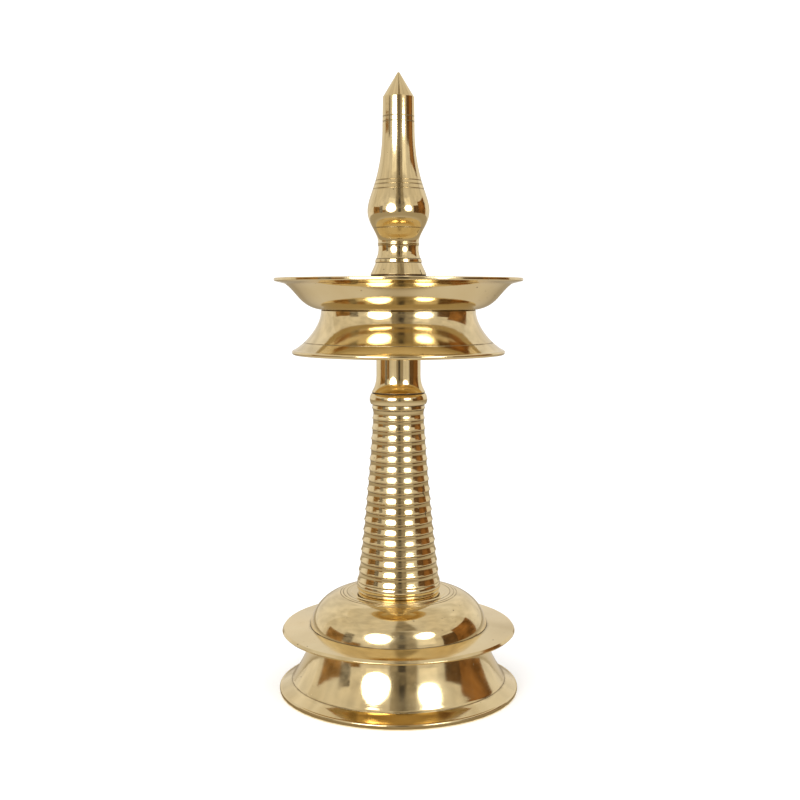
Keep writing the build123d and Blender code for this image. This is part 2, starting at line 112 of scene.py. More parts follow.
class Bench:
    """Adds nodes to one tree and wires them together."""

    def __init__(self, tree):
        self.tree = tree

    def feed(self, socket, value):
        """Sets a socket to a plain value, or links another node's output to it."""
        if isinstance(value, bpy.types.NodeSocket):
            self.tree.links.new(value, socket)
        else:
            socket.default_value = value

    def node(self, kind, options=None, **inputs):
        """A new node. Options are its settings; an input name's underscores stand for spaces."""
        made = self.tree.nodes.new(kind)
        for key, value in (options or {}).items():
            setattr(made, key, value)
        for key, value in inputs.items():
            label = key.replace("_", " ")
            socket = next(s for s in made.inputs if s.name == label and s.enabled)
            self.feed(socket, value)
        return made

    def out(self, kind, options=None, output=None, **inputs):
        """The named output of a new node, or its first one that is enabled."""
        made = self.node(kind, options, **inputs)
        return next(s for s in made.outputs if s.enabled and output in (None, s.name))

    def fed(self, kind, options, *values):
        """A new node whose inputs are fed in their order."""
        made = self.node(kind, options)
        for socket, value in zip((s for s in made.inputs if s.enabled), values):
            self.feed(socket, value)
        return made

    def math(self, operation, *values, clamp=False):
        """The result of one sum on numbers."""
        options = {"operation": operation, "use_clamp": clamp}
        return self.fed("ShaderNodeMath", options, *values).outputs[0]

    def whole(self, operation, *values):
        """The result of one sum on whole numbers."""
        return self.fed("FunctionNodeIntegerMath", {"operation": operation}, *values).outputs[0]

    def vector(self, operation, *values, output="Vector"):
        """The result of one sum on vectors."""
        made = self.fed("ShaderNodeVectorMath", {"operation": operation}, *values)
        return made.outputs[output]

    def switch(self, condition, otherwise, chosen):
        """One of two numbers, by a condition."""
        options = {"input_type": "FLOAT"}
        return self.fed("GeometryNodeSwitch", options, condition, otherwise, chosen).outputs[0]

    def split(self, vector):
        """The X, Y and Z of a vector."""
        parts = self.fed("ShaderNodeSeparateXYZ", None, vector)
        return [parts.outputs[axis] for axis in "XYZ"]

    def place(self):
        """The place on the object itself, which a material's patterns follow."""
        return self.out("ShaderNodeTexCoord", output="Object")

    def ramp(self, value, low, high, to_low=0.0, to_high=1.0):
        """Value carried smoothly from one range to another, and held at its ends."""
        options = {"interpolation_type": "SMOOTHSTEP"}
        made = self.node("ShaderNodeMapRange", options)
        for label, number in (
            ("Value", value),
            ("From Min", low),
            ("From Max", high),
            ("To Min", to_low),
            ("To Max", to_high),
        ):
            self.feed(made.inputs[label], number)
        return made.outputs["Result"]


def named_tree(name, inputs):
    """A new Geometry Nodes tree with named inputs, and a bench for it."""
    tree = bpy.data.node_groups.new(name, "GeometryNodeTree")
    tree.interface.new_socket("Geometry", in_out="OUTPUT", socket_type="NodeSocketGeometry")
    for label, kind, value in inputs:
        socket = tree.interface.new_socket(label, in_out="INPUT", socket_type=kind)
        if value is not None:
            socket.default_value = value
    return tree, Bench(tree)


# %% [markdown]
# ## What polished brass needs
#
# Brass is a metal, so its colour is the colour of its reflections. What makes it look turned and
# not poured is small: rings left by the tool, a soft haze where a cloth has rubbed it, a few pits
# from the casting, hair scratches, and dark residue that stays in the scribed lines. Corners, rib
# undercuts and the joints between parts are darkened with the same dark colour as painted shade.
#
# Two measures are stored on every mesh for this. *run* is the distance along the outline in
# millimetres, so that tool rings follow the surface from dome to rim. The second is 1 where polish
# and soot collect in the scribed lines and where corners are darkened as painted shade, and 0
# elsewhere. The rest reads Object coordinates. The rings also stretch a highlight across them,
# which is what the anisotropic term does. Its direction is the tangent about the lamp's axis,
# worked out from the place itself.

# %% Make the brass finishes
warm_brass = (0.835, 0.675, 0.385)
bright_brass = (0.90, 0.765, 0.48)
# The dark colour of residue in the scribed lines, pits and flaws, also used as painted shade in
# corners.
residue_and_shade_colour = (0.075, 0.045, 0.022, 1.0)
slim_radius = 21.5 * MM
flaw_bearing = 0.80
tangent_pull = 0.55


def new_material(name):
    """An empty node material, its bench and its output node."""
    material = bpy.data.materials.new(name)
    material.use_nodes = True
    material.node_tree.nodes.clear()
    bench = Bench(material.node_tree)
    return material, bench, bench.node("ShaderNodeOutputMaterial")


def noise(bench, place, scale, detail=3.0, rough=0.5, dimensions="3D"):
    """Soft noise from 0 to 1 about 0.5, at a number of cells to the metre."""
    return bench.out(
        "ShaderNodeTexNoise",
        {"noise_dimensions": dimensions},
        output="Fac",
        Scale=scale,
        Detail=detail,
        Roughness=rough,
        **({"W": place} if dimensions == "1D" else {"Vector": place}),
    )


def toned(bench, value, *stops):
    """A colour that follows a value. Each stop is a position and a colour."""
    ramp = bench.node("ShaderNodeValToRGB")
    bench.feed(ramp.inputs[0], value)
    elements = ramp.color_ramp.elements
    while len(elements) < len(stops):
        elements.new(0.5)
    for element, (position, colour) in zip(elements, stops):
        element.position = position
        element.color = (*colour, 1.0)
    return ramp.outputs[0]


def principled(bench, end, **inputs):
    """Ends a material with a principled surface."""
    skin = bench.node("ShaderNodeBsdfPrincipled", **inputs)
    bench.feed(end.inputs["Surface"], skin.outputs[0])


def turned_tangent(bench, place):
    """The direction of the tool rings: around the lamp's axis."""
    return bench.vector("NORMALIZE", bench.vector("CROSS_PRODUCT", (0.0, 0.0, 1.0), place))


def pits(bench, place, cell, share):
    """Small round casting pits: 1 in a pit and 0 elsewhere. Only some cells hold one."""
    cells = bench.node("ShaderNodeTexVoronoi", Vector=place, Scale=1.0 / (cell * MM))
    spot = bench.ramp(cells.outputs["Distance"], 0.10, 0.16, 1.0, 0.0)
    chosen = bench.node("ShaderNodeSeparateColor")
    bench.feed(chosen.inputs[0], cells.outputs["Color"])
    return bench.math("MULTIPLY", spot, bench.math("LESS_THAN", chosen.outputs[0], share))


def scratches(bench, place, turn, spacing):
    """Hair scratches: long thin cells, turned so that two sets cross."""
    mapping = bench.node("ShaderNodeMapping", {"vector_type": "TEXTURE"}, Vector=place)
    mapping.inputs["Rotation"].default_value = turn
    mapping.inputs["Scale"].default_value = (spacing * MM, spacing * MM, 14 * spacing * MM)
    edge = bench.out(
        "ShaderNodeTexVoronoi",
        {"feature": "DISTANCE_TO_EDGE"},
        Vector=mapping.outputs[0],
        Scale=1.0,
    )
    line = bench.ramp(edge, 0.0, 0.035, 1.0, 0.0)
    patch = bench.ramp(noise(bench, place, 60.0), 0.52, 0.66)
    return bench.math("MULTIPLY", line, patch)


def parting_flaws(bench, place):
    """Dark broken flaws down one side of the slim pieces, where the halves of the mould met."""
    x, y, z = bench.split(place)
    bearing = bench.math("ARCTAN2", x, bench.math("MULTIPLY", y, -1.0))
    reach = bench.math("MULTIPLY_ADD", x, x, bench.math("MULTIPLY", y, y))
    wander = noise(bench, bench.math("MULTIPLY", z, 260.0), 1.0, detail=4.0, dimensions="1D")
    off_line = bench.math("SUBTRACT", bearing, flaw_bearing)
    off_line = bench.math("MULTIPLY_ADD", wander, -0.30, off_line)
    line = bench.ramp(bench.math("ABSOLUTE", off_line), 0.008, 0.034, 1.0, 0.0)
    slim = bench.math("LESS_THAN", reach, slim_radius**2)
    line = bench.math("MULTIPLY", line, slim)
    broken = noise(bench, bench.math("MULTIPLY", z, 75.0), 1.0, detail=2.0, dimensions="1D")
    return bench.math("MULTIPLY", line, bench.ramp(broken, 0.57, 0.62))


def make_polished_brass():
    material, bench, end = new_material("turned_brass")
    place = bench.place()
    run = bench.out("ShaderNodeAttribute", {"attribute_name": "run"}, output="Fac")
    tarnish_and_shade = bench.out("ShaderNodeAttribute", {"attribute_name": "tarnish_and_shade"}, output="Fac")
    haze = noise(bench, place, 45.0, detail=4.0)
    cloud = noise(bench, place, 130.0, detail=2.0)
    rings = noise(bench, run, 2.2, detail=4.0, rough=0.7, dimensions="1D")
    broad_rings = noise(bench, run, 0.28, detail=1.0, dimensions="1D")
    pit = bench.math(
        "MAXIMUM", pits(bench, place, 1.3, 0.055), pits(bench, place, 2.4, 0.03)
    )
    scratch = bench.math(
        "MAXIMUM",
        scratches(bench, place, (0.4, 0.9, 0.2), 3.1),
        scratches(bench, place, (1.2, -0.5, 0.8), 4.3),
    )
    # Stains, pits, mould flaws and residue in the lines are mixed with painted shade in corners,
    # rib undercuts and joints into one dark mark.
    stains_and_shade = bench.ramp(bench.math("ADD", tarnish_and_shade, bench.math("MULTIPLY", cloud, 0.5)), 0.45, 1.2)
    dirt_and_shade = bench.math("MAXIMUM", stains_and_shade, bench.math("MAXIMUM", pit, parting_flaws(bench, place)))

    tone = toned(bench, haze, (0.3, warm_brass), (0.7, bright_brass))
    colour = bench.out("ShaderNodeMix", {"data_type": "RGBA"}, Factor=dirt_and_shade, A=tone, B=residue_and_shade_colour)

    rough = bench.ramp(haze, 0.35, 0.7, 0.05, 0.11)
    rough = bench.math("ADD", rough, bench.math("MULTIPLY", rings, 0.04))
    rough = bench.math("ADD", rough, bench.math("MULTIPLY", scratch, 0.025))
    rough = bench.math("MAXIMUM", rough, bench.math("MULTIPLY", dirt_and_shade, 0.55))

    height = bench.math("MULTIPLY", rings, 0.0035)
    height = bench.math("ADD", height, bench.math("MULTIPLY", broad_rings, 0.012))
    height = bench.math("ADD", height, bench.math("MULTIPLY", cloud, 0.016))
    height = bench.math("SUBTRACT", height, bench.math("MULTIPLY", pit, 0.05))
    height = bench.math("SUBTRACT", height, bench.math("MULTIPLY", scratch, 0.0003))
    bump = bench.out("ShaderNodeBump", Height=height, Distance=MM, Strength=1.0)

    tangent = turned_tangent(bench, place)
    metal = {"Metallic": 1.0, "Anisotropic": tangent_pull, "Tangent": tangent}
    principled(bench, end, Base_Color=colour, Roughness=rough, Normal=bump, **metal)
    return material


def make_cast_brass():
    material, bench, end = new_material("as_cast_brass")
    place = bench.place()
    sand = noise(bench, place, 900.0, detail=5.0, rough=0.65)
    stain = noise(bench, place, 40.0, detail=4.0)
    tone = toned(bench, stain, (0.3, (0.20, 0.12, 0.055)), (0.72, (0.52, 0.36, 0.16)))
    rough = bench.ramp(sand, 0.3, 0.7, 0.42, 0.68)
    bump = bench.out("ShaderNodeBump", Height=sand, Distance=0.25 * MM, Strength=0.8)
    principled(bench, end, Base_Color=tone, Roughness=rough, Normal=bump, Metallic=0.9)
    return material


polished_brass = make_polished_brass()
cast_brass = make_cast_brass()
print("finishes:", polished_brass.name, "and", cast_brass.name)

# %% [markdown]
# ## The washers' leather
#
# A thin leather washer in each upper joint keeps the threads from seizing and stops the dish from
# working loose. In use it is squeezed flat and soaked with oil, so it is nearly black, a little
# shiny, and grained. A fine Voronoi pattern gives the grain, and slow noise the oil stains.

# %% Make the leather


def make_leather():
    material, bench, end = new_material("oiled_leather")
    place = bench.place()
    grain = bench.out("ShaderNodeTexVoronoi", Vector=place, Scale=1800.0)
    stain = noise(bench, place, 150.0, detail=4.0)
    tone = toned(bench, stain, (0.35, (0.022, 0.011, 0.006)), (0.7, (0.085, 0.042, 0.018)))
    rough = bench.ramp(stain, 0.3, 0.7, 0.38, 0.66)
    bump = bench.out("ShaderNodeBump", Height=grain, Distance=0.12 * MM, Strength=0.7)
    principled(bench, end, Base_Color=tone, Roughness=rough, Normal=bump)
    return material


leather = make_leather()
print("finish:", leather.name)

# %% [markdown]
# ## Outlines
#
# A turned piece is known by half of its section: a line of points, each a radius and a height.
# The outline could be a Bezier curve object, but plain lists are easier to join, round and measure.
# Straight stretches need only their ends. Round ones are drawn by a formula, a Bezier with three
# or four handles or an arc through three points, so that the mirror-bright surface has no flats.

# %% Draw straight, swept and arched stretches
SWEEP_STEPS = 26


def sweep(*handles):
    """Points on a Bezier curve of any number of handles."""
    points = []
    for step in range(SWEEP_STEPS + 1):
        share = step / SWEEP_STEPS
        level = list(handles)
        while len(level) > 1:
            level = [
                (a[0] + (b[0] - a[0]) * share, a[1] + (b[1] - a[1]) * share)
                for a, b in zip(level, level[1:])
            ]
        points.append(level[0])
    return points


def arch(start, through, end, steps=SWEEP_STEPS):
    """Points on the circle arc from start to end that passes through a middle point."""
    (ax, ay), (bx, by), (cx, cy) = start, through, end
    det = 2 * (ax * (by - cy) + bx * (cy - ay) + cx * (ay - by))
    a2, b2, c2 = ax * ax + ay * ay, bx * bx + by * by, cx * cx + cy * cy
    ox = (a2 * (by - cy) + b2 * (cy - ay) + c2 * (ay - by)) / det
    oy = (a2 * (cx - bx) + b2 * (ax - cx) + c2 * (bx - ax)) / det
    radius = math.hypot(ax - ox, ay - oy)
    first = math.atan2(ay - oy, ax - ox)
    middle = (math.atan2(by - oy, bx - ox) - first) % (2 * math.pi)
    last = (math.atan2(cy - oy, cx - ox) - first) % (2 * math.pi)
    if middle > last:
        last -= 2 * math.pi
    turns = [first + last * step / steps for step in range(steps + 1)]
    return [(ox + radius * math.cos(t), oy + radius * math.sin(t)) for t in turns]


def joined(*stretches):
    """One outline from several stretches, without the points where they repeat."""
    points = []
    for point in (p for stretch in stretches for p in stretch):
        if not points or math.dist(points[-1], point) > 1e-3:
            points.append(point)
    return points


sample = arch((1.0, 0.0), (0.0, 1.0), (-1.0, 0.0))
print("half circle drawn with", len(sample), "points, top at", round(max(p[1] for p in sample), 3))

# %% [markdown]
# ## Edges and scribed lines
#
# A polished edge is never sharp: the buffing wheel rounds it, and the rounding catches a bright
# line of light. A Bevel modifier could do this on the mesh, but on an outline it is exact and costs
# a few points. The same goes for the fine lines that the turner scribes: a round-nosed tool leaves
# a tiny half-round groove, so the outline dips by the tool's radius there.

# %% Round the corners and scribe the lines
EDGE_ROUND = 0.16
LINE_RADIUS = 0.22
LONGEST_STEP = 2.2


def between(a, b, share):
    """The point a share of the way from one point to another."""
    return tuple(start + (end - start) * share for start, end in zip(a, b))


def toward(a, b, distance):
    """The point at a distance from a, on the way to b."""
    share = distance / math.dist(a, b)
    return (a[0] + (b[0] - a[0]) * share, a[1] + (b[1] - a[1]) * share)


def turn_at(before, corner, after):
    """How far an outline turns at a point, in degrees."""
    first = math.atan2(corner[1] - before[1], corner[0] - before[0])
    second = math.atan2(after[1] - corner[1], after[0] - corner[0])
    return abs((math.degrees(second - first) + 180) % 360 - 180)


def eased(points, round_off=EDGE_ROUND):
    """The outline with each corner rounded, and a point on each side to hold its faces flat."""
    made = [points[0]]
    for before, corner, after in zip(points, points[1:], points[2:]):
        if turn_at(before, corner, after) < 18 or corner[0] < 1e-6:
            made.append(corner)
            continue
        reach = min(round_off, 0.3 * math.dist(before, corner), 0.3 * math.dist(corner, after))
        start, end = toward(corner, before, reach), toward(corner, after, reach)
        made.append(toward(corner, before, 1.5 * reach))
        for share in (0.0, 0.25, 0.5, 0.75, 1.0):
            a, b = between(start, corner, share), between(corner, end, share)
            made.append(between(a, b, share))
        made.append(toward(corner, after, 1.5 * reach))
    made.append(points[-1])
    return made


def divided(points, longest=LONGEST_STEP):
    """The outline with its long straight stretches divided evenly."""
    made = [points[0]]
    for start, end in zip(points, points[1:]):
        steps = max(1, math.ceil(math.dist(start, end) / longest))
        for step in range(1, steps + 1):
            made.append(between(start, end, step / steps))
    return made


def scribed(points, place, radius=LINE_RADIUS):
    """The outline with a half-round groove at the point nearest to a place."""
    best = (1e9, 0, points[0])
    for number, (start, end) in enumerate(zip(points, points[1:])):
        length = math.dist(start, end)
        along = (place[0] - start[0]) * (end[0] - start[0]) + (place[1] - start[1]) * (
            end[1] - start[1]
        )
        share = min(1.0, max(0.0, along / length**2))
        foot = between(start, end, share)
        best = min(best, (math.dist(foot, place), number, foot))
    _, number, foot = best
    start, end = points[number], points[number + 1]
    length = math.dist(start, end)
    way = ((end[0] - start[0]) / length, (end[1] - start[1]) / length)
    inward = (-way[1], way[0]) if way[1] - 0.6 * way[0] > 0 else (way[1], -way[0])
    before = [p for p in points[: number + 1] if math.dist(p, foot) > 1.35 * radius]
    after = [p for p in points[number + 1 :] if math.dist(p, foot) > 1.35 * radius]
    groove = []
    for angle in (-115, -90, -60, -30, 0, 30, 60, 90, 115):
        along = radius * math.sin(math.radians(angle)) * (1 if abs(angle) <= 90 else 1.3)
        deep = max(0.0, radius * math.cos(math.radians(angle)))
        groove.append(tuple(f + w * along + i * deep for f, w, i in zip(foot, way, inward)))
    return before + groove + after


def along(points, share):
    """The point at a share of an outline's length."""
    lengths = [math.dist(a, b) for a, b in zip(points, points[1:])]
    left = share * sum(lengths)
    for (a, b), length in zip(zip(points, points[1:]), lengths):
        if left <= length:
            return toward(a, b, left) if left > 0 else a
        left -= length
    return points[-1]


square = eased([(10.0, 0.0), (10.0, 5.0), (5.0, 5.0)])
print("a square corner is rounded by", EDGE_ROUND, "mm with", len(square) - 3, "extra points")

# %% [markdown]
# ## A lathe in Geometry Nodes
#
# Every piece of this lamp comes off a lathe, so the lesson builds one lathe and uses it for all of
# them. Blender has a Screw modifier that turns an outline too, but a Geometry Nodes tree can also
# carry the run and the measure of residue and painted shade from the outline to the surface, and
# other trees can use it.
#
# The tree makes a grid with one row of points for each outline point and one column for each
# step around the axis. A point's number tells its row and its column: it looks up the radius and
# height in its row, and stands them at the angle of its column.

# %% Build the lathe tree
SEGMENTS = 192


def measure(bench, geometry, value, index, kind="FLOAT"):
    """Looks a value up on one numbered point of a geometry."""
    return bench.out(
        "GeometryNodeSampleIndex",
        {"data_type": kind, "domain": "POINT"},
        Geometry=geometry,
        Value=value,
        Index=index,
    )


def stored(bench, name):
    """Reads a measure that is stored on the points."""
    return bench.out("GeometryNodeInputNamedAttribute", {"data_type": "FLOAT"}, Name=name)


def turned_grid(bench, rows, segments):
    """A grid of points for a turned surface, with each point's row and its angle."""
    columns = bench.whole("ADD", segments, 1)
    grid = bench.out("GeometryNodeMeshGrid", output="Mesh", Vertices_X=columns, Vertices_Y=rows)
    index = bench.out("GeometryNodeInputIndex")
    row = bench.whole("MODULO", index, rows)
    column = bench.whole("DIVIDE_FLOOR", index, rows)
    share = bench.math("DIVIDE", column, segments)
    return grid, row, bench.math("MULTIPLY", share, 2 * math.pi), share


def stand(bench, grid, radius, height, angle):
    """Moves a grid's points out to their radius, height and angle."""
    x = bench.math("MULTIPLY", radius, bench.math("COSINE", angle))
    y = bench.math("MULTIPLY", radius, bench.math("SINE", angle))
    place = bench.out("ShaderNodeCombineXYZ", X=x, Y=y, Z=height)
    return bench.out("GeometryNodeSetPosition", Geometry=grid, Position=place)


def with_measure(bench, geometry, name, value):
    """Stores a measure on every point under a name."""
    return bench.out(
        "GeometryNodeStoreNamedAttribute",
        {"data_type": "FLOAT", "domain": "POINT"},
        Geometry=geometry,
        Name=name,
        Value=value,
    )


def close_tree(bench, geometry, material):
    """Ends a tree with real geometry, its material and the group output."""
    real = bench.out("GeometryNodeRealizeInstances", Geometry=geometry)
    painted = bench.out("GeometryNodeSetMaterial", Geometry=real, Material=material)
    end = bench.node("NodeGroupOutput")
    bench.feed(end.inputs[0], painted)


def turn_surface(bench, outline, segments):
    """The surface that an outline sweeps about the axis, with its measures."""
    counted = bench.node("GeometryNodeAttributeDomainSize", Geometry=outline)
    rows = counted.outputs["Point Count"]
    grid, row, angle, _ = turned_grid(bench, rows, segments)
    place = bench.out("GeometryNodeInputPosition")
    spot = measure(bench, outline, place, row, kind="FLOAT_VECTOR")
    radius, _, height = bench.split(spot)
    run = measure(bench, outline, stored(bench, "run"), row)
    tarnish_and_shade = measure(bench, outline, stored(bench, "tarnish_and_shade"), row)
    measured = with_measure(bench, grid, "run", run)
    measured = with_measure(bench, measured, "tarnish_and_shade", tarnish_and_shade)
    return stand(bench, measured, radius, height, angle)


def make_lathe_tree():
    tree, bench = named_tree(
        "lathe",
        [
            ("Outline", "NodeSocketGeometry", None),
            ("Segments", "NodeSocketInt", SEGMENTS),
            ("Material", "NodeSocketMaterial", None),
        ],
    )
    start = bench.node("NodeGroupInput")
    surface = turn_surface(bench, start.outputs["Outline"], start.outputs["Segments"])
    close_tree(bench, surface, start.outputs["Material"])
    return tree


lathe_tree = make_lathe_tree()
print("lathe tree with", len(lathe_tree.nodes), "nodes and", SEGMENTS, "steps around")

# %% [markdown]
# ## Running a tree
#
# A modifier's inputs are set by the identifier of each socket, because names may repeat. The
# result is taken from the evaluated object as a plain mesh, and the holder is thrown away, so that
# nothing live is left for the export to trip on.

# %% Run a tree and keep its mesh


def run_tree(tree, start_mesh=None, **values):
    """The plain mesh that a tree makes from a starting mesh and its named inputs."""
    mesh = start_mesh or bpy.data.meshes.new("nothing")
    holder = placed(f"{tree.name}_holder", mesh)
    modifier = holder.modifiers.new(tree.name, "NODES")
    modifier.node_group = tree
    for item in tree.interface.items_tree:
        label = item.name.replace(" ", "_").lower()
        if item.in_out == "INPUT" and label in values:
            modifier[item.identifier] = values[label]
    depsgraph = bpy.context.evaluated_depsgraph_get()
    made = bpy.data.meshes.new_from_object(
        holder.evaluated_get(depsgraph), preserve_all_data_layers=True, depsgraph=depsgraph
    )
    bpy.data.objects.remove(holder)
    return made


def chain(name, places):
    """A mesh of places joined one to the next."""
    mesh = bpy.data.meshes.new(name)
    mesh.from_pydata(places, [(step, step + 1) for step in range(len(places) - 1)], [])
    return mesh


def outline_mesh(points, dark_places=(), reach=0.45, dark=0.0):
    """An outline as a chain of edges in the XZ plane, with its run and its residue and painted
    shade.
    """
    mesh = chain("outline", [(r * MM, 0.0, z * MM) for r, z in points])
    runs, total = [0.0], 0.0
    for a, b in zip(points, points[1:]):
        total += math.dist(a, b)
        runs.append(total)
    tarnish_and_shade_levels = []
    for point in points:
        near = min((math.dist(point, place) for place in dark_places), default=reach)
        tarnish_and_shade_levels.append(max(dark, 1.0 - near / reach))
    for name, numbers in (("run", runs), ("tarnish_and_shade", tarnish_and_shade_levels)):
        mesh.attributes.new(name, "FLOAT", "POINT").data.foreach_set("value", numbers)
    return mesh


def turn(points, finish=polished_brass, lines=(), corners=(), dark=0.0):
    """Turns an outline on the lathe. Lines are scribed and hold residue; corners get painted shade.
    """
    shaped = divided(eased(points))
    for place in lines:
        shaped = scribed(shaped, place)
    mesh = outline_mesh(shaped, dark_places=(*lines, *corners), dark=dark)
    return run_tree(lathe_tree, mesh, segments=SEGMENTS, material=finish)


trial = turn([(0.0, 0.0), (10.0, 0.0), (10.0, 4.0), (0.0, 4.0)])
print("a trial disc has", len(trial.polygons), "faces")

# %% [markdown]
# ## Screw threads in Geometry Nodes
#
# The joints are real screws, seen when the lamp is taken apart. A thread could be swept along a
# helix curve, but then it would only lie on the rod. Here one surface holds both: rows of points
# climb by one pitch in a turn, and each stands out by the height of the ridge at its own place
# between two turns. The ridge dies away at a closed end, and at a mouth the hole is opened out by
# a small countersink, as a tapped hole is.
#
# Male and female threads share the rule that a crest crosses the front at whole pitches, so that
# they mesh. The hole's numbers are larger by the clearance.

# %% Build the thread tree
ROWS_PER_PITCH = 8


def ridge_height(bench, phase, pitch, clearance):
    """How far a thread stands out over its root, by its place between two turns (0 to 1)."""
    from_crest = bench.math("ABSOLUTE", bench.math("SUBTRACT", phase, 0.5))
    half_foot = bench.math("ADD", bench.math("DIVIDE", clearance, pitch), 0.40)
    share = bench.math("DIVIDE", bench.math("SUBTRACT", half_foot, from_crest), 0.28)
    depth = bench.math("MULTIPLY", pitch, 0.5)
    return bench.math("MULTIPLY", bench.math("ADD", share, 0.0, clamp=True), depth), depth


def make_thread_tree():
    lengths = ("Crest Radius", "Pitch", "Low", "High", "Clearance")
    tree, bench = named_tree(
        "screw_thread",
        [("Geometry", "NodeSocketGeometry", None)]
        + [(label, "NodeSocketFloat", 0.0) for label in lengths]
        + [
            ("Opens Up", "NodeSocketFloat", 0.0),
            ("Opens Down", "NodeSocketFloat", 0.0),
            ("Segments", "NodeSocketInt", SEGMENTS),
            ("Material", "NodeSocketMaterial", None),
        ],
    )
    start = bench.node("NodeGroupInput").outputs
    crest, pitch, low, high, clearance = (start[label] for label in lengths)
    first_turn = bench.math("SUBTRACT", bench.math("FLOOR", bench.math("DIVIDE", low, pitch)), 1.0)
    last_turn = bench.math("ADD", bench.math("CEIL", bench.math("DIVIDE", high, pitch)), 1.0)
    turns = bench.math("SUBTRACT", last_turn, first_turn)
    rows = bench.whole("ADD", bench.math("MULTIPLY", turns, ROWS_PER_PITCH), 1)
    grid, row, angle, share = turned_grid(bench, rows, start["Segments"])
    turn_number = bench.math("ADD", first_turn, bench.math("DIVIDE", row, ROWS_PER_PITCH))
    phase = bench.math("FRACT", bench.math("ADD", bench.math("DIVIDE", row, ROWS_PER_PITCH), 0.5))
    free_height = bench.math("MULTIPLY", bench.math("ADD", turn_number, share), pitch)
    height = bench.math("MINIMUM", bench.math("MAXIMUM", free_height, low), high)
    ridge, depth = ridge_height(bench, phase, pitch, clearance)
    above = bench.math("SUBTRACT", height, low)
    below = bench.math("SUBTRACT", high, height)
    closed_low = bench.math("ADD", above, start["Opens Down"])
    closed_high = bench.math("ADD", below, start["Opens Up"])
    ridge = bench.math("MINIMUM", ridge, bench.math("MINIMUM", closed_low, closed_high))
    sink_up = bench.math("MULTIPLY", bench.math("SUBTRACT", depth, below), start["Opens Up"])
    sink_down = bench.math("MULTIPLY", bench.math("SUBTRACT", depth, above), start["Opens Down"])
    ridge = bench.math("MAXIMUM", ridge, bench.math("MAXIMUM", sink_up, sink_down))
    root = bench.math("ADD", bench.math("SUBTRACT", crest, depth), clearance)
    radius = bench.math("ADD", root, ridge)
    surface = with_measure(bench, grid, "run", bench.math("DIVIDE", height, MM))
    # The whole thread is partly darkened toward the dark colour.
    surface = with_measure(bench, surface, "tarnish_and_shade", 0.45)
    surface = stand(bench, surface, radius, height, angle)
    close_tree(bench, surface, start["Material"])
    return tree


thread_tree = make_thread_tree()


def thread(crest, pitch, low, high, clearance=0.0, opens=None):
    """A thread from one height to another. A hole has a clearance and a mouth that opens."""
    return run_tree(
        thread_tree,
        crest_radius=crest * MM,
        pitch=pitch * MM,
        low=low * MM,
        high=high * MM,
        clearance=clearance * MM,
        opens_up=1.0 if opens == "up" else 0.0,
        opens_down=1.0 if opens == "down" else 0.0,
        segments=SEGMENTS,
        material=polished_brass,
    )


print("thread tree with", len(thread_tree.nodes), "nodes")

# %% [markdown]
# ## Welding the parts of a piece
#
# A piece is one closed skin: its turned outside, its threads and the floors of its holes. They
# share the same steps around the axis, so their edge circles fall on each other and a merge by
# distance welds them. The faces are then turned to point outwards, and the sharp edges that are
# left are marked by angle, so that the smooth shading doesn't smear across them. The cell prints
# whether the skin is closed, because a gap of a hair would show in a print or a cut.

# %% Weld parts into one piece and set it on its body
WELD = 0.0015 * MM
SHARP_ANGLE = 42.0


def welded(name, meshes):
    """One closed mesh from several that meet edge to edge, with its faces pointing outwards."""
    shell = bmesh.new()
    finishes = []
    for mesh in meshes:
        finishes += [m for m in mesh.materials if m not in finishes]
        first = len(shell.faces)
        shell.from_mesh(mesh)
        shell.faces.ensure_lookup_table()
        slots = [finishes.index(m) for m in mesh.materials]
        for face in shell.faces[first:]:
            face.material_index = slots[face.material_index]
    bmesh.ops.remove_doubles(shell, verts=shell.verts, dist=WELD)
    bmesh.ops.dissolve_degenerate(shell, edges=shell.edges, dist=0.2 * WELD)
    bmesh.ops.recalc_face_normals(shell, faces=shell.faces)
    if shell.calc_volume(signed=True) < 0:
        bmesh.ops.reverse_faces(shell, faces=shell.faces)
    open_edges = sum(not edge.is_manifold for edge in shell.edges)
    volume = shell.calc_volume(signed=True) / MM**3 / 1000
    mesh = bpy.data.meshes.new(name)
    shell.to_mesh(mesh)
    shell.free()
    for material in finishes:
        mesh.materials.append(material)
    mesh.shade_smooth()
    mesh.set_sharp_from_angle(angle=math.radians(SHARP_ANGLE))
    triangles = sum(len(p.vertices) - 2 for p in mesh.polygons)
    print(f"{name}: {triangles} triangles, {open_edges} open edges, {volume:.1f} cm3 inside")
    return mesh


def finished(node, body, slot, *meshes):
    """Makes the finished piece that stands for an engineering node and rides on its body."""
    name = f"{node}_finished"
    piece = placed(name, welded(name, meshes))
    widest_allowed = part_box(node)[1].x
    reach = max(v.co.x for v in piece.data.vertices)
    print(f"    {(reach - widest_allowed) / MM:+.3f} mm wider than the engineering piece")
    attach(piece, body)
    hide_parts(node)
    return piece


# %% [markdown]
# ## The foot ring
#
# The lamp stands on a hollow drum with a drawn-in waist, so that it is heavy at the edge and
# doesn't rock. Its outside flares from the waist to a scribed line and then runs straight down to
# a thin rim. The outside is polished. The inside is left as it came from the sand, so it is turned
# as a second outline with the cast finish.

# %% Turn the foot ring
foot_low, foot_top = heights("foot_ring")
foot_radius = widest("foot_ring")
foot_rim_height = 2.6
foot_rim_round = 1.0
foot_land = 3.0
waist_radius = 44.0
waist_knee = 19.9
foot_line = (53.7, 5.8)
foot_wall = 2.6
foot_corner = 0.2
foot_inner_drop = 0.4 * foot_wall


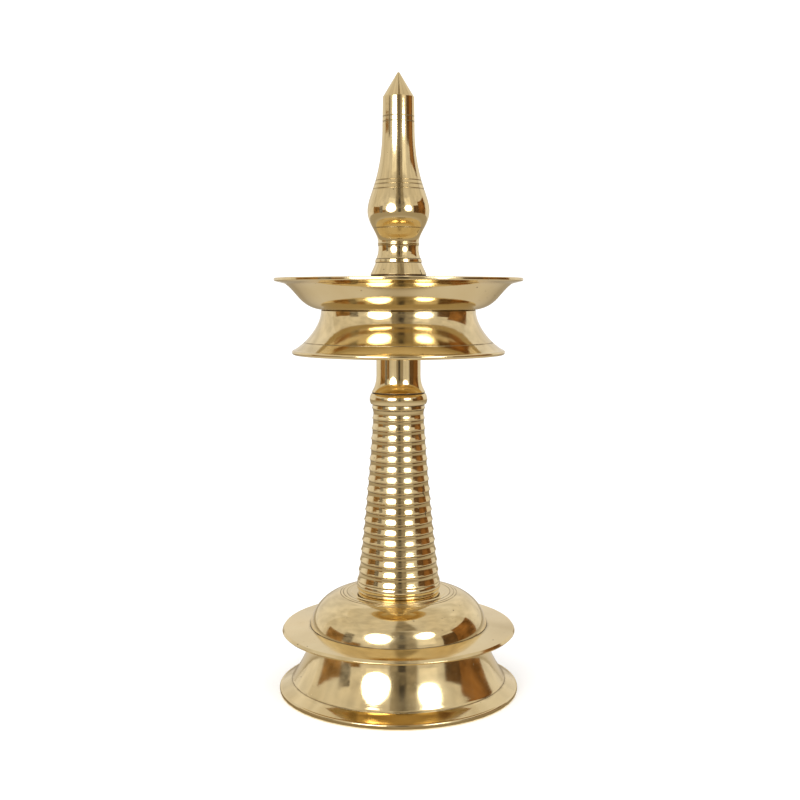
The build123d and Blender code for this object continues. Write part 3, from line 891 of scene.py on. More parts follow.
def make_foot_ring():
    rim_side = foot_radius - foot_rim_round
    land_edge = (foot_radius - foot_land, foot_low)
    waist_bore = (waist_radius - foot_wall, foot_top)
    outside = joined(
        [land_edge, (foot_radius - foot_corner, foot_low), (foot_radius, foot_low + foot_corner)],
        sweep(
            (foot_radius, foot_rim_height - foot_rim_round),
            (foot_radius, foot_rim_height),
            (rim_side, foot_rim_height),
        ),
        sweep(foot_line, (waist_radius, waist_knee), (waist_radius, foot_top)),
        [waist_bore],
    )
    inside = joined(
        sweep(
            waist_bore,
            (waist_radius - foot_wall, waist_knee),
            (foot_line[0] - foot_wall, foot_line[1] - foot_inner_drop),
        ),
        [land_edge],
    )
    # The corner under the flange is darkened as painted shade; the scribed line holds residue.
    skin = turn(outside, lines=[foot_line], corners=[(waist_radius, foot_top)])
    return finished("foot_ring", "base", "polished_brass", skin, turn(inside, cast_brass))


make_foot_ring()

# %% [markdown]
# ## The base dome
#
# The dome closes the drum. Its flange runs up to a crease, the dome rises from there on one arc,
# and a low crown carries the column. Three lines are scribed where the dome meets the crown. In
# the middle is the tapped hole for the column.

# %% Turn the base dome
register_low, dome_top = heights("base_dome")
flange_radius = widest("base_dome")
flange_edge = 2.2
flange_bevel = 0.4 * flange_edge
crease_radius = 44.4
dome_height = 16.1
dome_shoulder = (38.8, 0.665)
crown_radius = 24.0
crown_step = 0.3
dome_wall = 2.6
dome_inner_drop = 0.7 * dome_wall
register_gap = 0.1
register_wall = 2.4
base_boss_radius = 13.0
dome_line_radii = (26.0, 27.9, 29.4)
column_thread = {"crest": 8.0, "pitch": 2.5}
column_turns = 5
thread_gap = 0.15
hole_end_gap = 1.0


def thread_root(screw, clearance=0.0):
    """The radius between a screw's ridges."""
    return screw["crest"] - screw["pitch"] / 2 + clearance


def floor_of(radius, height, finish=polished_brass):
    """A flat disc that closes a hole or ends a spigot."""
    # Hole floors and spigot ends are partly darkened toward the dark colour.
    return turn([(radius, height), (0.0, height)], finish, dark=0.4)


def spigot(screw, end, shoulder):
    """A threaded spigot, closed at its end."""
    low, high = sorted((end, shoulder))
    return thread(**screw, low=low, high=high), floor_of(thread_root(screw), end)


def tapped(screw, end, mouth):
    """The thread of a hole from its end to its mouth, which is opened out."""
    low, high = sorted((end, mouth))
    opens = "up" if mouth > end else "down"
    return thread(**screw, low=low, high=high, clearance=thread_gap, opens=opens)


def blind_hole(screw, end, mouth):
    """A tapped hole, closed at its end."""
    return tapped(screw, end, mouth), floor_of(thread_root(screw, thread_gap), end)


def make_base_dome():
    crown = dome_top - crown_step
    crease = crown - dome_height
    shoulder = crease + dome_shoulder[1] * dome_height
    register = waist_radius - foot_wall - register_gap
    hole_low = dome_top - column_turns * column_thread["pitch"] - hole_end_gap
    boss_low = hole_low - dome_wall
    rim = flange_radius - flange_bevel
    dome = arch((crease_radius, crease), (dome_shoulder[0], shoulder), (crown_radius, crown), 60)
    lines = [min(dome, key=lambda p: abs(p[0] - r)) for r in dome_line_radii]
    mouth = (column_thread["crest"] + thread_gap, dome_top)
    outside = joined(
        [
            (register - register_wall, register_low),
            (register, register_low),
            (register, foot_top),
            (rim, foot_top),
            (flange_radius, foot_top + flange_bevel),
            (rim, foot_top + flange_edge),
        ],
        dome,
        [(crown_radius - crown_step, dome_top), mouth],
    )
    inside = joined(
        [(register - register_wall, register_low)],
        arch(
            (register - register_wall, foot_top),
            (dome_shoulder[0] - dome_wall, shoulder - dome_inner_drop),
            (crown_radius - dome_wall, crown - dome_wall),
        ),
        [(base_boss_radius, crown - dome_wall), (base_boss_radius, boss_low), (0.0, boss_low)],
    )
    # The crease and the edge under the seat ring are darkened as painted shade; the lines hold
    # residue.
    ring_edge = (widest("seat_ring"), dome_top)
    return finished(
        "base_dome",
        "base",
        "polished_brass",
        turn(outside, lines=lines, corners=[(crease_radius, crease), ring_edge]),
        turn(inside, cast_brass),
        *blind_hole(column_thread, hole_low, dome_top),
    )


make_base_dome()

# %% [markdown]
# ## The seat ring
#
# A thin brass ring takes the wear between the column and the dome. It is a plain ring, but its
# rounded edge is what shows, as one bright gold line under the column.

# %% Turn the seat ring
seat_top = heights("seat_ring")[1]
spigot_gap = 0.4


def ring(node, hole_radius, finish, round_off, **marks):
    """A flat ring with a rounded outer edge."""
    low, high = heights(node)
    edge = widest(node)
    middle = (low + high) / 2
    bulge = min(round_off, 0.45 * (high - low))
    outline = joined(
        [(hole_radius, middle), (hole_radius, low), (edge - bulge, low)],
        arch((edge - bulge, low), (edge, middle), (edge - bulge, high), 12),
        [(hole_radius, high), (hole_radius, middle)],
    )
    return turn(outline, finish, **marks)


finished(
    "seat_ring",
    "column_seat",
    "polished_brass",
    ring("seat_ring", column_thread["crest"] + spigot_gap, polished_brass, 0.7),
)

# %% [markdown]
# ## The ribbed shaft
#
# The column's shaft is a stack of the same rib: an undercut, a thin crest, a short flare and a
# plain band. It tapers upwards with a slight hollow, as if drawn in. Eighteen ribs could be typed
# as one long outline, but the real turner cuts them by a rule, so a tree repeats them by a rule.
#
# One rib is drawn as a little outline whose three measures are shares: how deep it is cut, how far
# it has moved towards the next rib's radius, and how high it has climbed. The tree numbers the
# rows, works out which rib each is in, and lays the rib on the taper. A fixed seed makes each rib
# a few hundredths of a millimetre uneven, as handwork is. The band above each crest is slightly
# hollow, so that it squeezes the reflection of a window into an oval.

# %% Build the rib tree
column_low, column_top = heights("column")
column_foot = seat_top
band_height = 4.1
band_radius = widest("column")
rib_count = 18
rib_depth = 0.42
rib_land = 0.35
rib_flare = 1.25
band_hollow = 0.5
shaft_foot_radius = 20.7
shaft_top_radius = 12.75
shaft_hollow = 0.8
collar_height = 7.1
ledge_radius = 13.15
ledge = column_top - collar_height
first_rib = column_foot + band_height + rib_land
rib_pitch = (ledge - first_rib) / (rib_count - 1)


def rib_section():
    """One rib as (share of depth, share of the way to the next rib, climb in millimetres)."""
    flat_from, flat_to = rib_flare, rib_pitch - 2 * rib_land
    points = [(1.0, 0.0, -2.0 * rib_land), (0.72, 0.0, -1.75 * rib_land)]
    points += [(0.20, 0.0, -1.22 * rib_land), (0.06, 0.0, -1.0 * rib_land)]
    points += [(0.0, 0.0, -0.72 * rib_land), (0.0, 0.0, -0.25 * rib_land)]
    points += [(0.06, 0.0, 0.0), (0.24, 0.0, 0.12 * rib_flare), (0.48, 0.0, 0.30 * rib_flare)]
    points += [(0.72, 0.0, 0.60 * rib_flare)]
    for step in range(5):
        share = step / 5
        climb = flat_from + (flat_to - flat_from) * share
        points.append((0.92 + band_hollow * math.sin(math.pi * (share + 0.15)), share, climb))
    return points


def make_rib_tree():
    lengths = (
        ("Pitch", rib_pitch),
        ("Depth", rib_depth),
        ("First Height", first_rib),
        ("Foot Radius", shaft_foot_radius),
        ("Top Radius", shaft_top_radius),
        ("Hollow", shaft_hollow),
        ("Ledge Radius", ledge_radius),
        ("Uneven", 0.03),
    )
    tree, bench = named_tree(
        "ribbed_shaft",
        [("Section", "NodeSocketGeometry", None), ("Ribs", "NodeSocketInt", rib_count - 1)]
        + [(label, "NodeSocketFloat", length * MM) for label, length in lengths]
        + [
            ("Seed", "NodeSocketInt", 7),
            ("Segments", "NodeSocketInt", SEGMENTS),
            ("Material", "NodeSocketMaterial", None),
        ],
    )
    start = bench.node("NodeGroupInput").outputs
    counted = bench.node("GeometryNodeAttributeDomainSize", Geometry=start["Section"])
    per_rib = counted.outputs["Point Count"]
    rows = bench.whole("ADD", bench.whole("MULTIPLY", start["Ribs"], per_rib), 1)
    grid, row, angle, _ = turned_grid(bench, rows, start["Segments"])
    rib = bench.whole("DIVIDE_FLOOR", row, per_rib)
    point = bench.whole("MODULO", row, per_rib)
    place = bench.out("GeometryNodeInputPosition")
    spot = measure(bench, start["Section"], place, point, kind="FLOAT_VECTOR")
    cut, onward, climb = bench.split(spot)

    def crest(number):
        """The crest radius of a numbered rib: a straight taper less a hollow."""
        share = bench.math("DIVIDE", number, start["Ribs"])
        fall = bench.math("SUBTRACT", start["Top Radius"], start["Foot Radius"])
        straight = bench.math("MULTIPLY_ADD", share, fall, start["Foot Radius"])
        rest = bench.math("SUBTRACT", 1.0, share)
        bow = bench.math("MULTIPLY", bench.math("MULTIPLY", share, rest), start["Hollow"])
        return bench.math("MULTIPLY_ADD", bow, -4.0, straight)

    this = crest(rib)
    is_last = bench.math("GREATER_THAN", rib, bench.math("SUBTRACT", start["Ribs"], 1.5))
    next_crest = crest(bench.whole("ADD", rib, 1))
    next_radius = bench.switch(is_last, next_crest, start["Ledge Radius"])
    past_last = bench.math("GREATER_THAN", rib, bench.math("SUBTRACT", start["Ribs"], 0.5))
    step = bench.math("SUBTRACT", next_radius, this)
    base = bench.math("MULTIPLY_ADD", step, onward, this)
    base = bench.switch(past_last, base, start["Ledge Radius"])
    options = {"data_type": "FLOAT"}
    chance = bench.fed("FunctionNodeRandomValue", options, -1.0, 1.0, rib, start["Seed"])
    wobble = bench.math("MULTIPLY", chance.outputs[1], start["Uneven"])
    stands_out = bench.math("SUBTRACT", 1.0, bench.math("MINIMUM", cut, 1.0))
    depth = bench.math("MULTIPLY", cut, start["Depth"])
    radius = bench.math("SUBTRACT", base, depth)
    radius = bench.math("MULTIPLY_ADD", wobble, stands_out, radius)
    height = bench.math("MULTIPLY_ADD", rib, start["Pitch"], start["First Height"])
    height = bench.math("ADD", height, climb)
    # The undercut below each crest is darkened as painted shade under the crest.
    undercut = bench.ramp(climb, -2.0 * rib_land * MM, -1.0 * rib_land * MM, 0.75, 0.0)
    surface = with_measure(bench, grid, "run", bench.math("DIVIDE", height, MM))
    surface = with_measure(bench, surface, "tarnish_and_shade", undercut)
    surface = stand(bench, surface, radius, height, angle)
    close_tree(bench, surface, start["Material"])
    return tree


rib_tree = make_rib_tree()
print("rib tree:", len(rib_tree.nodes), "nodes, with", len(rib_section()), "points to a rib")

# %% [markdown]
# ## The column
#
# Below the ribs is a barrel-shaped band that sits on the seat ring, and above them a collar with a
# bead. A threaded spigot screws down into the dome, and a tapped socket in the top takes the neck.
# The shaft is cored, so below the socket the casting is hollow and rough.

# %% Turn the column
column_wall = 5.0
core_gap = 6.0
core_foot_share = 0.6
core_foot_taper = 3.0
core_head_taper = 2.0
barrel_share = 0.36
barrel_foot_relief = 0.45
barrel_top_relief = 0.6
collar_foot_share = 0.27
collar_cove = 0.4
collar_bead_relief = 0.5
collar_foot_radius = 12.9
collar_bead_radius = 14.25
collar_top_radius = 13.4
neck_thread = {"crest": 7.0, "pitch": 2.0}
neck_turns = 5


def shaft_radius(height):
    """The radius over the rib crests at a height, by the same rule as the tree."""
    share = (height - first_rib) / (ledge - first_rib)
    straight = shaft_foot_radius + (shaft_top_radius - shaft_foot_radius) * share
    return straight - 4 * shaft_hollow * share * (1 - share)


def column_core():
    """The rough hollow below the socket, from its floor up to the socket's end."""
    low = column_foot + core_gap
    high = column_top - neck_turns * neck_thread["pitch"] - core_gap
    foot = shaft_radius(low) - column_wall
    head = shaft_radius(high) - column_wall
    bore = thread_root(neck_thread, thread_gap)
    socket_end = column_top - neck_turns * neck_thread["pitch"] - hole_end_gap
    return turn(
        [(0.0, low), (core_foot_share * foot, low), (foot, low + core_foot_taper)]
        + [(head, high), (bore, high + core_head_taper), (bore, socket_end)],
        cast_brass,
    )


def make_column():
    band_top = column_foot + band_height
    first_waist = shaft_radius(first_rib) - rib_depth
    under_ledge = ledge - 2 * rib_land
    collar_foot = ledge + collar_foot_share * collar_height
    root = thread_root(column_thread)
    barrel = arch(
        (band_radius - barrel_foot_relief, column_foot),
        (band_radius, column_foot + barrel_share * band_height),
        (band_radius - barrel_top_relief, band_top - rib_land),
        16,
    )
    waist = [(first_waist, first_rib - 2 * rib_land)]
    band = joined([(root, column_foot)], barrel, waist)
    collar = joined(
        [
            (ledge_radius - rib_depth, under_ledge),
            (ledge_radius, ledge - rib_land),
            (ledge_radius, ledge),
            (collar_foot_radius, collar_foot - collar_cove),
        ],
        arch(
            (collar_bead_radius - collar_bead_relief, collar_foot),
            (collar_bead_radius, ledge + 0.5 * collar_height),
            (collar_top_radius, column_top),
        ),
        [(neck_thread["crest"] + thread_gap, column_top)],
    )
    section = chain("rib", [(cut, onward, climb * MM) for cut, onward, climb in rib_section()])
    socket_low = column_top - neck_turns * neck_thread["pitch"] - hole_end_gap
    # The corners under the ledge, at the collar's foot, under the first rib and at the band's foot
    # are darkened as painted shade.
    collar_shade_corners = [(collar_foot_radius, collar_foot - collar_cove)]
    collar_shade_corners += [(ledge_radius - rib_depth, under_ledge)]
    return finished(
        "column",
        "column",
        "polished_brass",
        turn(band, corners=[band[-1], barrel[0]]),
        run_tree(rib_tree, section, ribs=rib_count - 1, segments=SEGMENTS, material=polished_brass),
        turn(collar, corners=collar_shade_corners),
        *spigot(column_thread, column_low, column_foot),
        tapped(neck_thread, socket_low, column_top),
        column_core(),
    )


make_column()

# %% [markdown]
# ## The washers
#
# Both washers are thin leather rings. They are squeezed, so their edges bulge a little, and they
# show only as a dark line. The upper one lies under the finial, the lower one on the collar.

# %% Cut the washers
clamp_thread = {"crest": 6.0, "pitch": 2.0}
finial_thread = {"crest": 6.0, "pitch": 2.0}
collar_hole = neck_thread["crest"] + spigot_gap
finial_hole = finial_thread["crest"] + spigot_gap
collar_skin = ring("collar_washer", collar_hole, leather, 0.2)
finial_skin = ring("finial_washer", finial_hole, leather, 0.2)
finished("collar_washer", "bowl_seat", "dark_leather", collar_skin)
finished("finial_washer", "finial_seat", "dark_leather", finial_skin)

# %% [markdown]
# ## The neck
#
# The neck is the solid stem that carries the dish: a flared foot, a straight waist, and a head
# that the skirt rests on. It has a thread at each end, one into the column and a shorter one up
# through the skirt into the bowl, which clamps the three into one.

# %% Turn the neck
neck_low, neck_spigot_top = heights("neck")
neck_foot = heights("collar_washer")[1]
skirt_low, skirt_top = heights("skirt")
skirt_wall = 2.3
neck_foot_radius = 13.3
neck_radius = 11.0
neck_flare = 8.8
neck_knee = 3.6
neck_head_radius = widest("neck")
neck_head_thickness = 3.0
neck_edge = 0.2


def make_neck():
    head_top = skirt_top - skirt_wall
    head_foot = head_top - neck_head_thickness
    stem = joined(
        [
            (thread_root(neck_thread), neck_foot),
            (neck_foot_radius - neck_edge, neck_foot),
            (neck_foot_radius, neck_foot + neck_edge),
        ],
        sweep(
            (neck_foot_radius, neck_foot + neck_edge),
            (neck_radius, neck_foot + neck_knee),
            (neck_radius, neck_foot + neck_flare),
        ),
        [
            (neck_radius, head_foot - (neck_head_radius - neck_radius)),
            (neck_head_radius, head_foot),
            (neck_head_radius, head_top),
            (thread_root(clamp_thread), head_top),
        ],
    )
    # The neck's foot, where it meets the washer, is darkened as painted shade.
    return finished(
        "neck",
        "bowl",
        "polished_brass",
        turn(stem, corners=[(neck_foot_radius, neck_foot)]),
        *spigot(neck_thread, neck_low, neck_foot),
        *spigot(clamp_thread, neck_spigot_top, head_top),
    )


make_neck()

# %% [markdown]
# ## The skirt
#
# The skirt is a bell with a hollow flank that ends in a thin rounded lip. It hides the nut of the
# joint and throws light down. One line is scribed a quarter of the way up from the lip. Its inside
# is bright too, and its glow is thrown back on the neck below.

# %% Turn the skirt
skirt_top_radius = 38.1
skirt_lip_radius = widest("skirt")
skirt_lip_round = 1.15
skirt_line_share = 0.25
skirt_edge = 0.5
skirt_inner_lip_share = 0.6
bell_steep_share = 0.34
bell_turn_shares = (0.47, 0.78)


def bell_side(top_radius, top, lip_radius, lip):
    """The hollow flank of the bell, steep at its top and nearly flat at its lip."""
    out, down = lip_radius - top_radius, top - lip
    turn_out, turn_down = bell_turn_shares
    return sweep(
        (top_radius, top),
        (top_radius, top - bell_steep_share * down),
        (top_radius + turn_out * out, top - turn_down * down),
        (lip_radius, lip),
    )


def make_skirt():
    lip_side = skirt_lip_radius - skirt_lip_round
    lip_in = lip_side - skirt_inner_lip_share * skirt_wall
    web = skirt_top - skirt_wall
    hole = clamp_thread["crest"] + spigot_gap
    lip = skirt_low + 2 * skirt_lip_round
    flank = bell_side(skirt_top_radius, skirt_top - skirt_edge, lip_side, lip)
    outside = joined(
        [(hole, web), (hole, skirt_top), (skirt_top_radius - skirt_edge, skirt_top)],
        flank,
        arch(
            flank[-1],
            (skirt_lip_radius, skirt_low + skirt_lip_round),
            (lip_side, skirt_low),
            12,
        ),
        [(lip_in, skirt_low)],
    )
    inside = joined(
        bell_side(skirt_top_radius - skirt_wall, web, lip_in, skirt_low)[::-1],
        [(hole, web)],
    )
    lines = [along(flank, 1 - skirt_line_share)]
    # The top edge where the skirt meets the bowl is darkened as painted shade; the scribed line
    # holds residue.
    skin = turn(outside, lines=lines, corners=[(skirt_top_radius, skirt_top)])
    return finished("skirt", "bowl", "polished_brass", skin, turn(inside))


make_skirt()

# %% [markdown]
# ## The bowl
#
# The oil dish is shallow, with a flat floor, a belly and a broad flat rim that holds the wicks. A
# boss rises in the middle for the finial to screw into. Inside and outside follow the same curve a
# wall apart. Both are polished.

# %% Turn the bowl
bowl_low, boss_top = heights("bowl")
bowl_radius = widest("bowl")
boss_rise = 0.9
bowl_top = boss_top - boss_rise
rim_thickness = 1.7
rim_dish = 1.2
rim_width = 5.2
bowl_wall = 2.3
boss_radius = 14.4
boss_foot_radius = 17.5
boss_foot_share = 0.3
rim_round_share = 0.2
inner_lip_share = 0.5
seat_margin = 0.5
short_end_gap = 0.5 * hole_end_gap
flank_low_shares = (0.57, 0.115)
flank_high_shares = (0.69, 0.756)
clamp_turns = 2.5
finial_turns = 4


def bowl_flank(floor_radius, floor, lip_radius, lip):
    """The side of the dish, from its flat floor round the belly and out under the lip."""
    rise, out = lip - floor, lip_radius - floor_radius
    (low_out, low_up), (high_out, high_up) = flank_low_shares, flank_high_shares
    return sweep(
        (floor_radius, floor),
        (floor_radius + low_out * out, floor + low_up * rise),
        (floor_radius + high_out * out, floor + high_up * rise),
        (lip_radius, lip),
    )


def make_bowl():
    rim_foot = bowl_top - rim_thickness
    edge = rim_round_share * rim_thickness
    lip_radius = bowl_radius - rim_width
    inner_lip = (lip_radius - inner_lip_share * bowl_wall, bowl_top - rim_dish)
    flat = skirt_top_radius + seat_margin
    floor = bowl_low + bowl_wall
    outside = joined(
        [(clamp_thread["crest"] + thread_gap, bowl_low)],
        bowl_flank(flat, bowl_low, lip_radius, rim_foot - rim_dish),
        [
            (bowl_radius - edge, rim_foot),
            (bowl_radius, rim_foot + edge),
            (bowl_radius, bowl_top - edge),
            (bowl_radius - edge, bowl_top),
        ],
        bowl_flank(flat - bowl_wall, floor, *inner_lip)[::-1],
        sweep(
            (boss_foot_radius, floor),
            (boss_radius, floor + boss_foot_share * (bowl_top - bowl_low)),
            (boss_radius, boss_top),
        ),
        [(finial_thread["crest"] + thread_gap, boss_top)],
    )
    clamp_end = bowl_low + clamp_turns * clamp_thread["pitch"] + short_end_gap
    finial_end = boss_top - finial_turns * finial_thread["pitch"] - short_end_gap
    # The corners where the bowl meets the skirt, at the boss's foot and at its top are darkened as
    # painted shade.
    corners = [(flat, bowl_low), (boss_foot_radius, floor), (boss_radius, boss_top)]
    return finished(
        "bowl",
        "bowl",
        "polished_brass",
        turn(outside, corners=corners),
        *blind_hole(clamp_thread, clamp_end, bowl_low),
        *blind_hole(finial_thread, finial_end, boss_top),
    )


make_bowl()

# %% [markdown]
# ## The finial
#
# The finial is the lamp's crown: a flared foot, a flat band, a hollow neck with a bead, a round
# belly that draws out into a long spindle, a plain shaft and a cone. Scribed lines mark the belly,
# the spindle and the shaft. It is one solid turning with its own screw, and it is the piece that
# is taken off first when the lamp is cleaned.

# %% Turn the finial
finial_low, tip = heights("finial")
finial_foot = heights("finial_washer")[1]
finial_foot_radius = 13.9
finial_foot_height = 6.0
finial_band = (11.45, 1.8)
finial_neck = (9.88, 6.6)
finial_bead = (10.3, 1.4)
belly_height = 15.2
belly_radius = widest("finial")
belly_foot_radius = 10.0
spindle_height = 41.4
spindle_radius = 7.85
shaft_height = 13.2
shaft_end_radius = 7.65
point_blunt = 0.45
foot_edge = 0.3
foot_flare = (1.1, 0.5)
band_edge = 0.2
band_lean = 0.1
band_relief = 0.4
neck_shares = (0.4, 0.75)
belly_foot_reach = 0.2
belly_shares = (0.33, 0.58)
spindle_shares = (0.2, 0.37)
belly_line_shares = (0.46,)
spindle_line_shares = (0.255, 0.31, 0.357)
shaft_line_shares = (0.1, 0.29)


def finial_base(band, neck, bead):
    """The finial's foot, band and neck, up to the bead."""
    band_radius, _ = finial_band
    neck_radius, neck_height = finial_neck
    flare_reach, flare_share = foot_flare
    low, high = neck_shares
    return joined(
        [
            (thread_root(finial_thread), finial_foot),
            (finial_foot_radius - foot_edge, finial_foot),
            (finial_foot_radius, finial_foot + foot_edge),
        ],
        sweep(
            (finial_foot_radius, finial_foot + foot_edge),
            (band_radius + flare_reach, finial_foot + flare_share * finial_foot_height),
            (band_radius - band_edge, band),
        ),
        [(band_radius + band_lean, band + band_edge), (band_radius - band_lean, neck - band_edge)],
        sweep(
            (band_radius - band_relief, neck),
            (neck_radius, neck + low * neck_height),
            (neck_radius - band_lean, neck + high * neck_height),
            (belly_foot_radius, bead),
        ),
    )


def make_finial():
    band = finial_foot + finial_foot_height
    neck = band + finial_band[1]
    bead = neck + finial_neck[1]
    belly_foot = bead + finial_bead[1]
    belly_top = belly_foot + belly_height
    spindle_top = belly_top + spindle_height
    point_foot = spindle_top + shaft_height
    belly = sweep(
        (belly_foot_radius, belly_foot),
        (belly_foot_radius + belly_foot_reach, belly_foot + belly_shares[0] * belly_height),
        (belly_radius, belly_foot + belly_shares[1] * belly_height),
        (belly_radius, belly_top),
    )
    spindle = sweep(
        (belly_radius, belly_top),
        (belly_radius, belly_top + spindle_shares[0] * spindle_height),
        (spindle_radius, belly_top + spindle_shares[1] * spindle_height),
        (spindle_radius, spindle_top),
    )
    shaft = [(spindle_radius, spindle_top), (shaft_end_radius, point_foot)]
    outline = joined(
        finial_base(band, neck, bead),
        [
            (belly_foot_radius, bead),
            (finial_bead[0], bead + band_edge),
            (finial_bead[0], belly_foot - foot_edge),
        ],
        belly,
        spindle,
        shaft,
        [(point_blunt, tip), (0.0, tip)],
    )
    lines = [(finial_bead[0], bead + 0.5 * finial_bead[1])]
    for curve, shares in (
        (belly, belly_line_shares),
        (spindle, spindle_line_shares),
        (shaft, shaft_line_shares),
    ):
        lines += [along(curve, share) for share in shares]
    # The corners at the foot, the band, the neck and under the bead are darkened as painted shade;
    # the scribed lines hold residue.
    corners = [(finial_foot_radius, finial_foot), (finial_band[0] - band_edge, band)]
    corners += [(finial_band[0] - band_relief, neck), (belly_foot_radius, bead)]
    return finished(
        "finial",
        "finial",
        "polished_brass",
        turn(outline, lines=lines, corners=corners),
        *spigot(finial_thread, finial_low, finial_foot),
    )


make_finial()

# %% [markdown]
# ## The floor
#
# The lamp stands on a plain pale floor, wide enough that its edge is never seen. The floor isn't
# part of the lamp.

# %% Lay the floor
floor_half = 30.0


def make_floor():
    material, bench, end = new_material("pale_floor")
    place = bench.place()
    rough = bench.ramp(noise(bench, place, 3.0), 0.3, 0.7, 0.75, 0.85)
    principled(bench, end, Base_Color=(0.9, 0.9, 0.9, 1.0), Roughness=rough)
    mesh = bpy.data.meshes.new("floor")
    corners = [(-1, -1), (1, -1), (1, 1), (-1, 1)]
    places = [(x * floor_half, y * floor_half, 0.0) for x, y in corners]
    mesh.from_pydata(places, [], [(0, 1, 2, 3)])
    mesh.materials.append(material)
    floor = placed("floor", mesh)
    return floor


make_floor()
print("floor is", 2 * floor_half, "m wide")

# %% [markdown]
# ## Light for polished metal
#
# Polished metal shows nothing but what stands around it, so lighting it means building a room. A
# plain white room would make it look like plaster. Here two soft oval lights stand in front, one
# on each side of the camera, with a dim gap between them. Beyond them are warm walls and brown
# furniture, and pale walls stand behind.
#
# The walls are cards. They are hidden from the camera and from the floor's own light, so that they
# show only in the brass. Each glows a little unevenly, which keeps the reflections from looking
# like flat paint. Places around the lamp are given as a bearing from the camera's side, in
# degrees, with right as positive.

# %% Build the windows and the cards
ROOM_RADIUS = 1.9
ROOM_HEIGHT = 2.1


def around(bearing, distance, height):
    """A place at a bearing from the camera's side, a distance out and a height up, in metres."""
    turned = math.radians(bearing)
    return Vector((distance * math.sin(turned), -distance * math.cos(turned), height))


def window(name, bearing, width, low, high, radiance, colour, distance):
    """A soft oval light that faces the lamp, with a brightness that doesn't depend on size."""
    data = bpy.data.lights.new(name, "AREA")
    data.shape = "ELLIPSE"
    data.size, data.size_y = width, high - low
    data.energy = radiance * math.pi * (math.pi / 4) * width * (high - low)
    data.color = colour
    light = placed(name, data)
    middle = (low + high) / 2
    light.location = around(bearing, distance, middle)
    toward_lamp = Vector((0.0, 0.0, middle)) - light.location
    light.rotation_euler = toward_lamp.to_track_quat("-Z", "Y").to_euler()
    light.visible_camera = False
    return light


def metal_only(name, places, faces, material):
    """A card that only polished metal sees."""
    material.cycles.emission_sampling = "NONE"
    mesh = bpy.data.meshes.new(name)
    mesh.from_pydata(places, [], faces)
    mesh.materials.append(material)
    piece = placed(name, mesh)
    piece.visible_camera = False
    piece.visible_diffuse = False
    piece.visible_shadow = False
    return piece


def glowing(name, colour, mottle=0.16, grain=2.6):
    """A material that glows a little unevenly, as walls and furniture do."""
    material, bench, end = new_material(name)
    place = bench.place()
    cloud = noise(bench, place, grain, detail=4.0, rough=0.6)
    dimmer, brighter = (tuple(part * (1 + gain) for part in colour) for gain in (-mottle, mottle))
    blend = toned(bench, cloud, (0.34, dimmer), (0.66, brighter))
    bench.feed(end.inputs["Surface"], bench.out("ShaderNodeEmission", Color=blend))
    return material


def wall(name, first, last, low, high, colour, distance, mottle, grain):
    """A curved wall card from one bearing to another."""
    steps = 1 + round(abs(last - first) / 4)
    places, faces = [], []
    for step in range(steps + 1):
        bearing = first + (last - first) * step / steps
        places += [around(bearing, distance, low), around(bearing, distance, high)]
        if step:
            faces.append((2 * step - 2, 2 * step, 2 * step + 1, 2 * step - 1))
    return metal_only(name, places, faces, glowing(name, colour, mottle, grain))


def flat_card(name, inner, outer, height, material, steps=48):
    """A level ring-shaped card around the lamp's axis."""
    places, faces = [], []
    for step in range(steps):
        bearing = 360 * step / steps
        places += [around(bearing, inner, height), around(bearing, outer, height)]
        after = (2 * step + 2) % (2 * steps)
        faces.append((2 * step, 2 * step + 1, after + 1, after))
    return metal_only(name, places, faces, material)


def shaded_floor(name, stops):
    """The floor's look as the metal sees it, with its shade painted in. Each stop is a reach and a
    colour.
    """
    material, bench, end = new_material(name)
    reach = bench.vector("LENGTH", bench.place(), output="Value")
    blend = toned(bench, reach, *stops)
    bench.feed(end.inputs["Surface"], bench.out("ShaderNodeEmission", Color=blend))
    return material


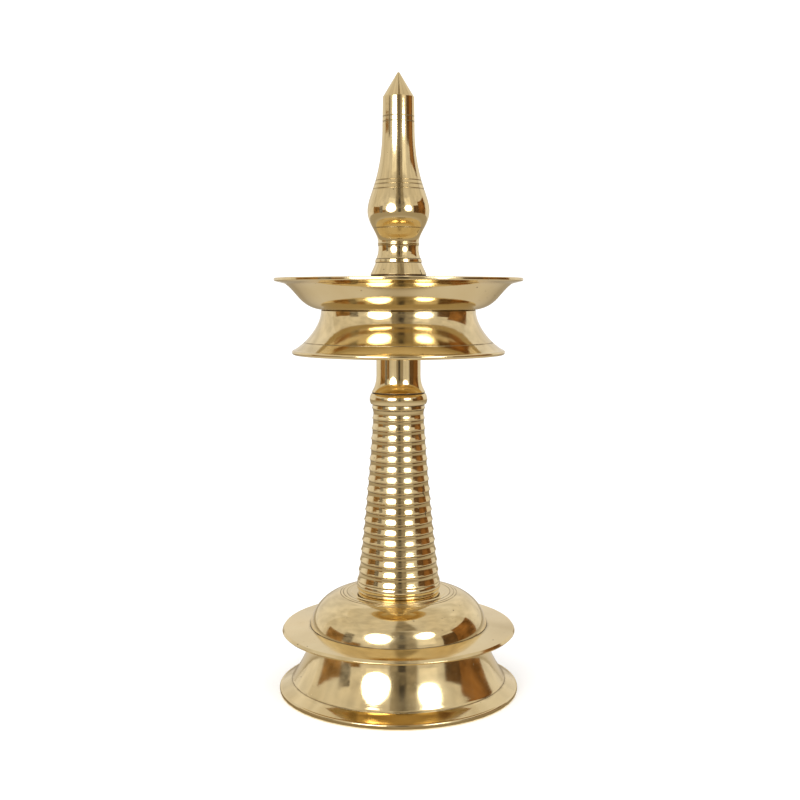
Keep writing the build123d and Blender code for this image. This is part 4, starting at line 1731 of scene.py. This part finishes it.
plaster = (0.66, 0.60, 0.51)
pale_wall = (0.76, 0.71, 0.64)
bright_wall = (0.94, 0.86, 0.72)
timber = (0.27, 0.145, 0.050)
red_timber = (0.23, 0.105, 0.032)
dark_timber = (0.11, 0.060, 0.026)
figure_tone = (0.17, 0.140, 0.10)
dim_wall = (0.30, 0.25, 0.18)
black_card = (0.06, 0.050, 0.040)
clutter = (0.24, 0.21, 0.17)
daylight = (1.0, 0.97, 0.91)
CARDS = (
    # name, first and last bearing, low and high edge, colour, distance, mottle, grain
    ("wall_behind", 116, 248, 0.0, ROOM_HEIGHT, pale_wall, ROOM_RADIUS, 0.16, 2.6),
    ("wall_left", -112, -11, 0.0, ROOM_HEIGHT, plaster, ROOM_RADIUS, 0.16, 2.6),
    ("wall_right", 23, 116, 0.0, ROOM_HEIGHT, plaster, ROOM_RADIUS, 0.16, 2.6),
    ("wall_front", -11, 23, 0.0, ROOM_HEIGHT, dim_wall, ROOM_RADIUS, 0.3, 2.6),
    ("glow_left", -40, -13, 0.3, 1.5, bright_wall, 1.86, 0.16, 2.6),
    ("glow_right", 25, 48, 0.3, 1.5, bright_wall, 1.86, 0.16, 2.6),
    ("cupboard_left", -104, -74, 0.0, 0.60, timber, 1.8, 0.45, 2.6),
    ("cupboard_low", -72, -48, 0.0, 0.26, timber, 1.7, 0.45, 2.6),
    ("cupboard_right", 78, 118, 0.0, 1.00, red_timber, 1.8, 0.45, 2.6),
    ("shadow_right", 58, 80, 0.0, 0.70, dark_timber, 1.6, 0.45, 2.6),
    ("cluttered_stand", -74, -60, 0.08, 0.50, clutter, 1.0, 0.97, 11.0),
    ("black_flag", -1, 9, 0.0, 0.40, black_card, 1.5, 0.16, 2.6),
    ("figure", -4, 10, 0.40, 1.70, figure_tone, 1.5, 0.5, 2.6),
    ("figure_dark", 1, 8, 0.80, 1.30, black_card, 1.45, 0.5, 2.6),
)
for card in CARDS:
    wall(*card)
flat_card("ceiling", 0.0, ROOM_RADIUS, ROOM_HEIGHT, glowing("ceiling", plaster))
beam = [around(side, out, ROOM_HEIGHT - 0.02) for side, out in ((-4, 0.2), (24, 0.2))]
beam += [around(side, 1.85, ROOM_HEIGHT - 0.02) for side in (32, -7)]
metal_only("ceiling_beam", beam, [(0, 1, 2, 3)], glowing("ceiling_beam", dim_wall, mottle=0.4))
# The floor card glows dark near the foot as a painted shadow of the lamp, brightest in the open,
# and is painted dimmer far out.
floor_in_lamp_shadow, floor_open, floor_far = (0.30, 0.24, 0.16), (0.64, 0.58, 0.50), (0.40, 0.34, 0.25)
floor_stops = [(0.064, floor_in_lamp_shadow), (0.092, floor_open), (0.24, floor_open), (0.60, floor_far)]
floor_tone = shaded_floor("floor_tone", floor_stops)
flat_card("floor_card", (foot_radius + 0.4) * MM, ROOM_RADIUS, 0.4 * MM, floor_tone)
window("window_left", -27, 0.33, 0.150, 0.47, 6.0, daylight, distance=0.55)
window("window_right", 36.5, 0.19, 0.205, 0.37, 6.0, daylight, distance=0.42)
print("stage lights and cards are in place")

# %% [markdown]
# ## The air of the room
#
# The world lights the floor evenly and stands behind it as plain white. The colours are shown as
# they are, without a film curve, because the subject is bright metal on white.

# %% Light the world and set the picture's tone
world = bpy.data.worlds.new("studio_air")
bpy.context.scene.world = world
world.use_nodes = True
world.node_tree.nodes.clear()
air = Bench(world.node_tree)
background = air.node("ShaderNodeBackground", Strength=1.35)
background.inputs["Color"].default_value = (1.0, 1.0, 1.0, 1.0)
air.feed(air.node("ShaderNodeOutputWorld").inputs["Surface"], background.outputs[0])
bpy.context.scene.view_settings.view_transform = "Standard"
print("world strength", background.inputs["Strength"].default_value)
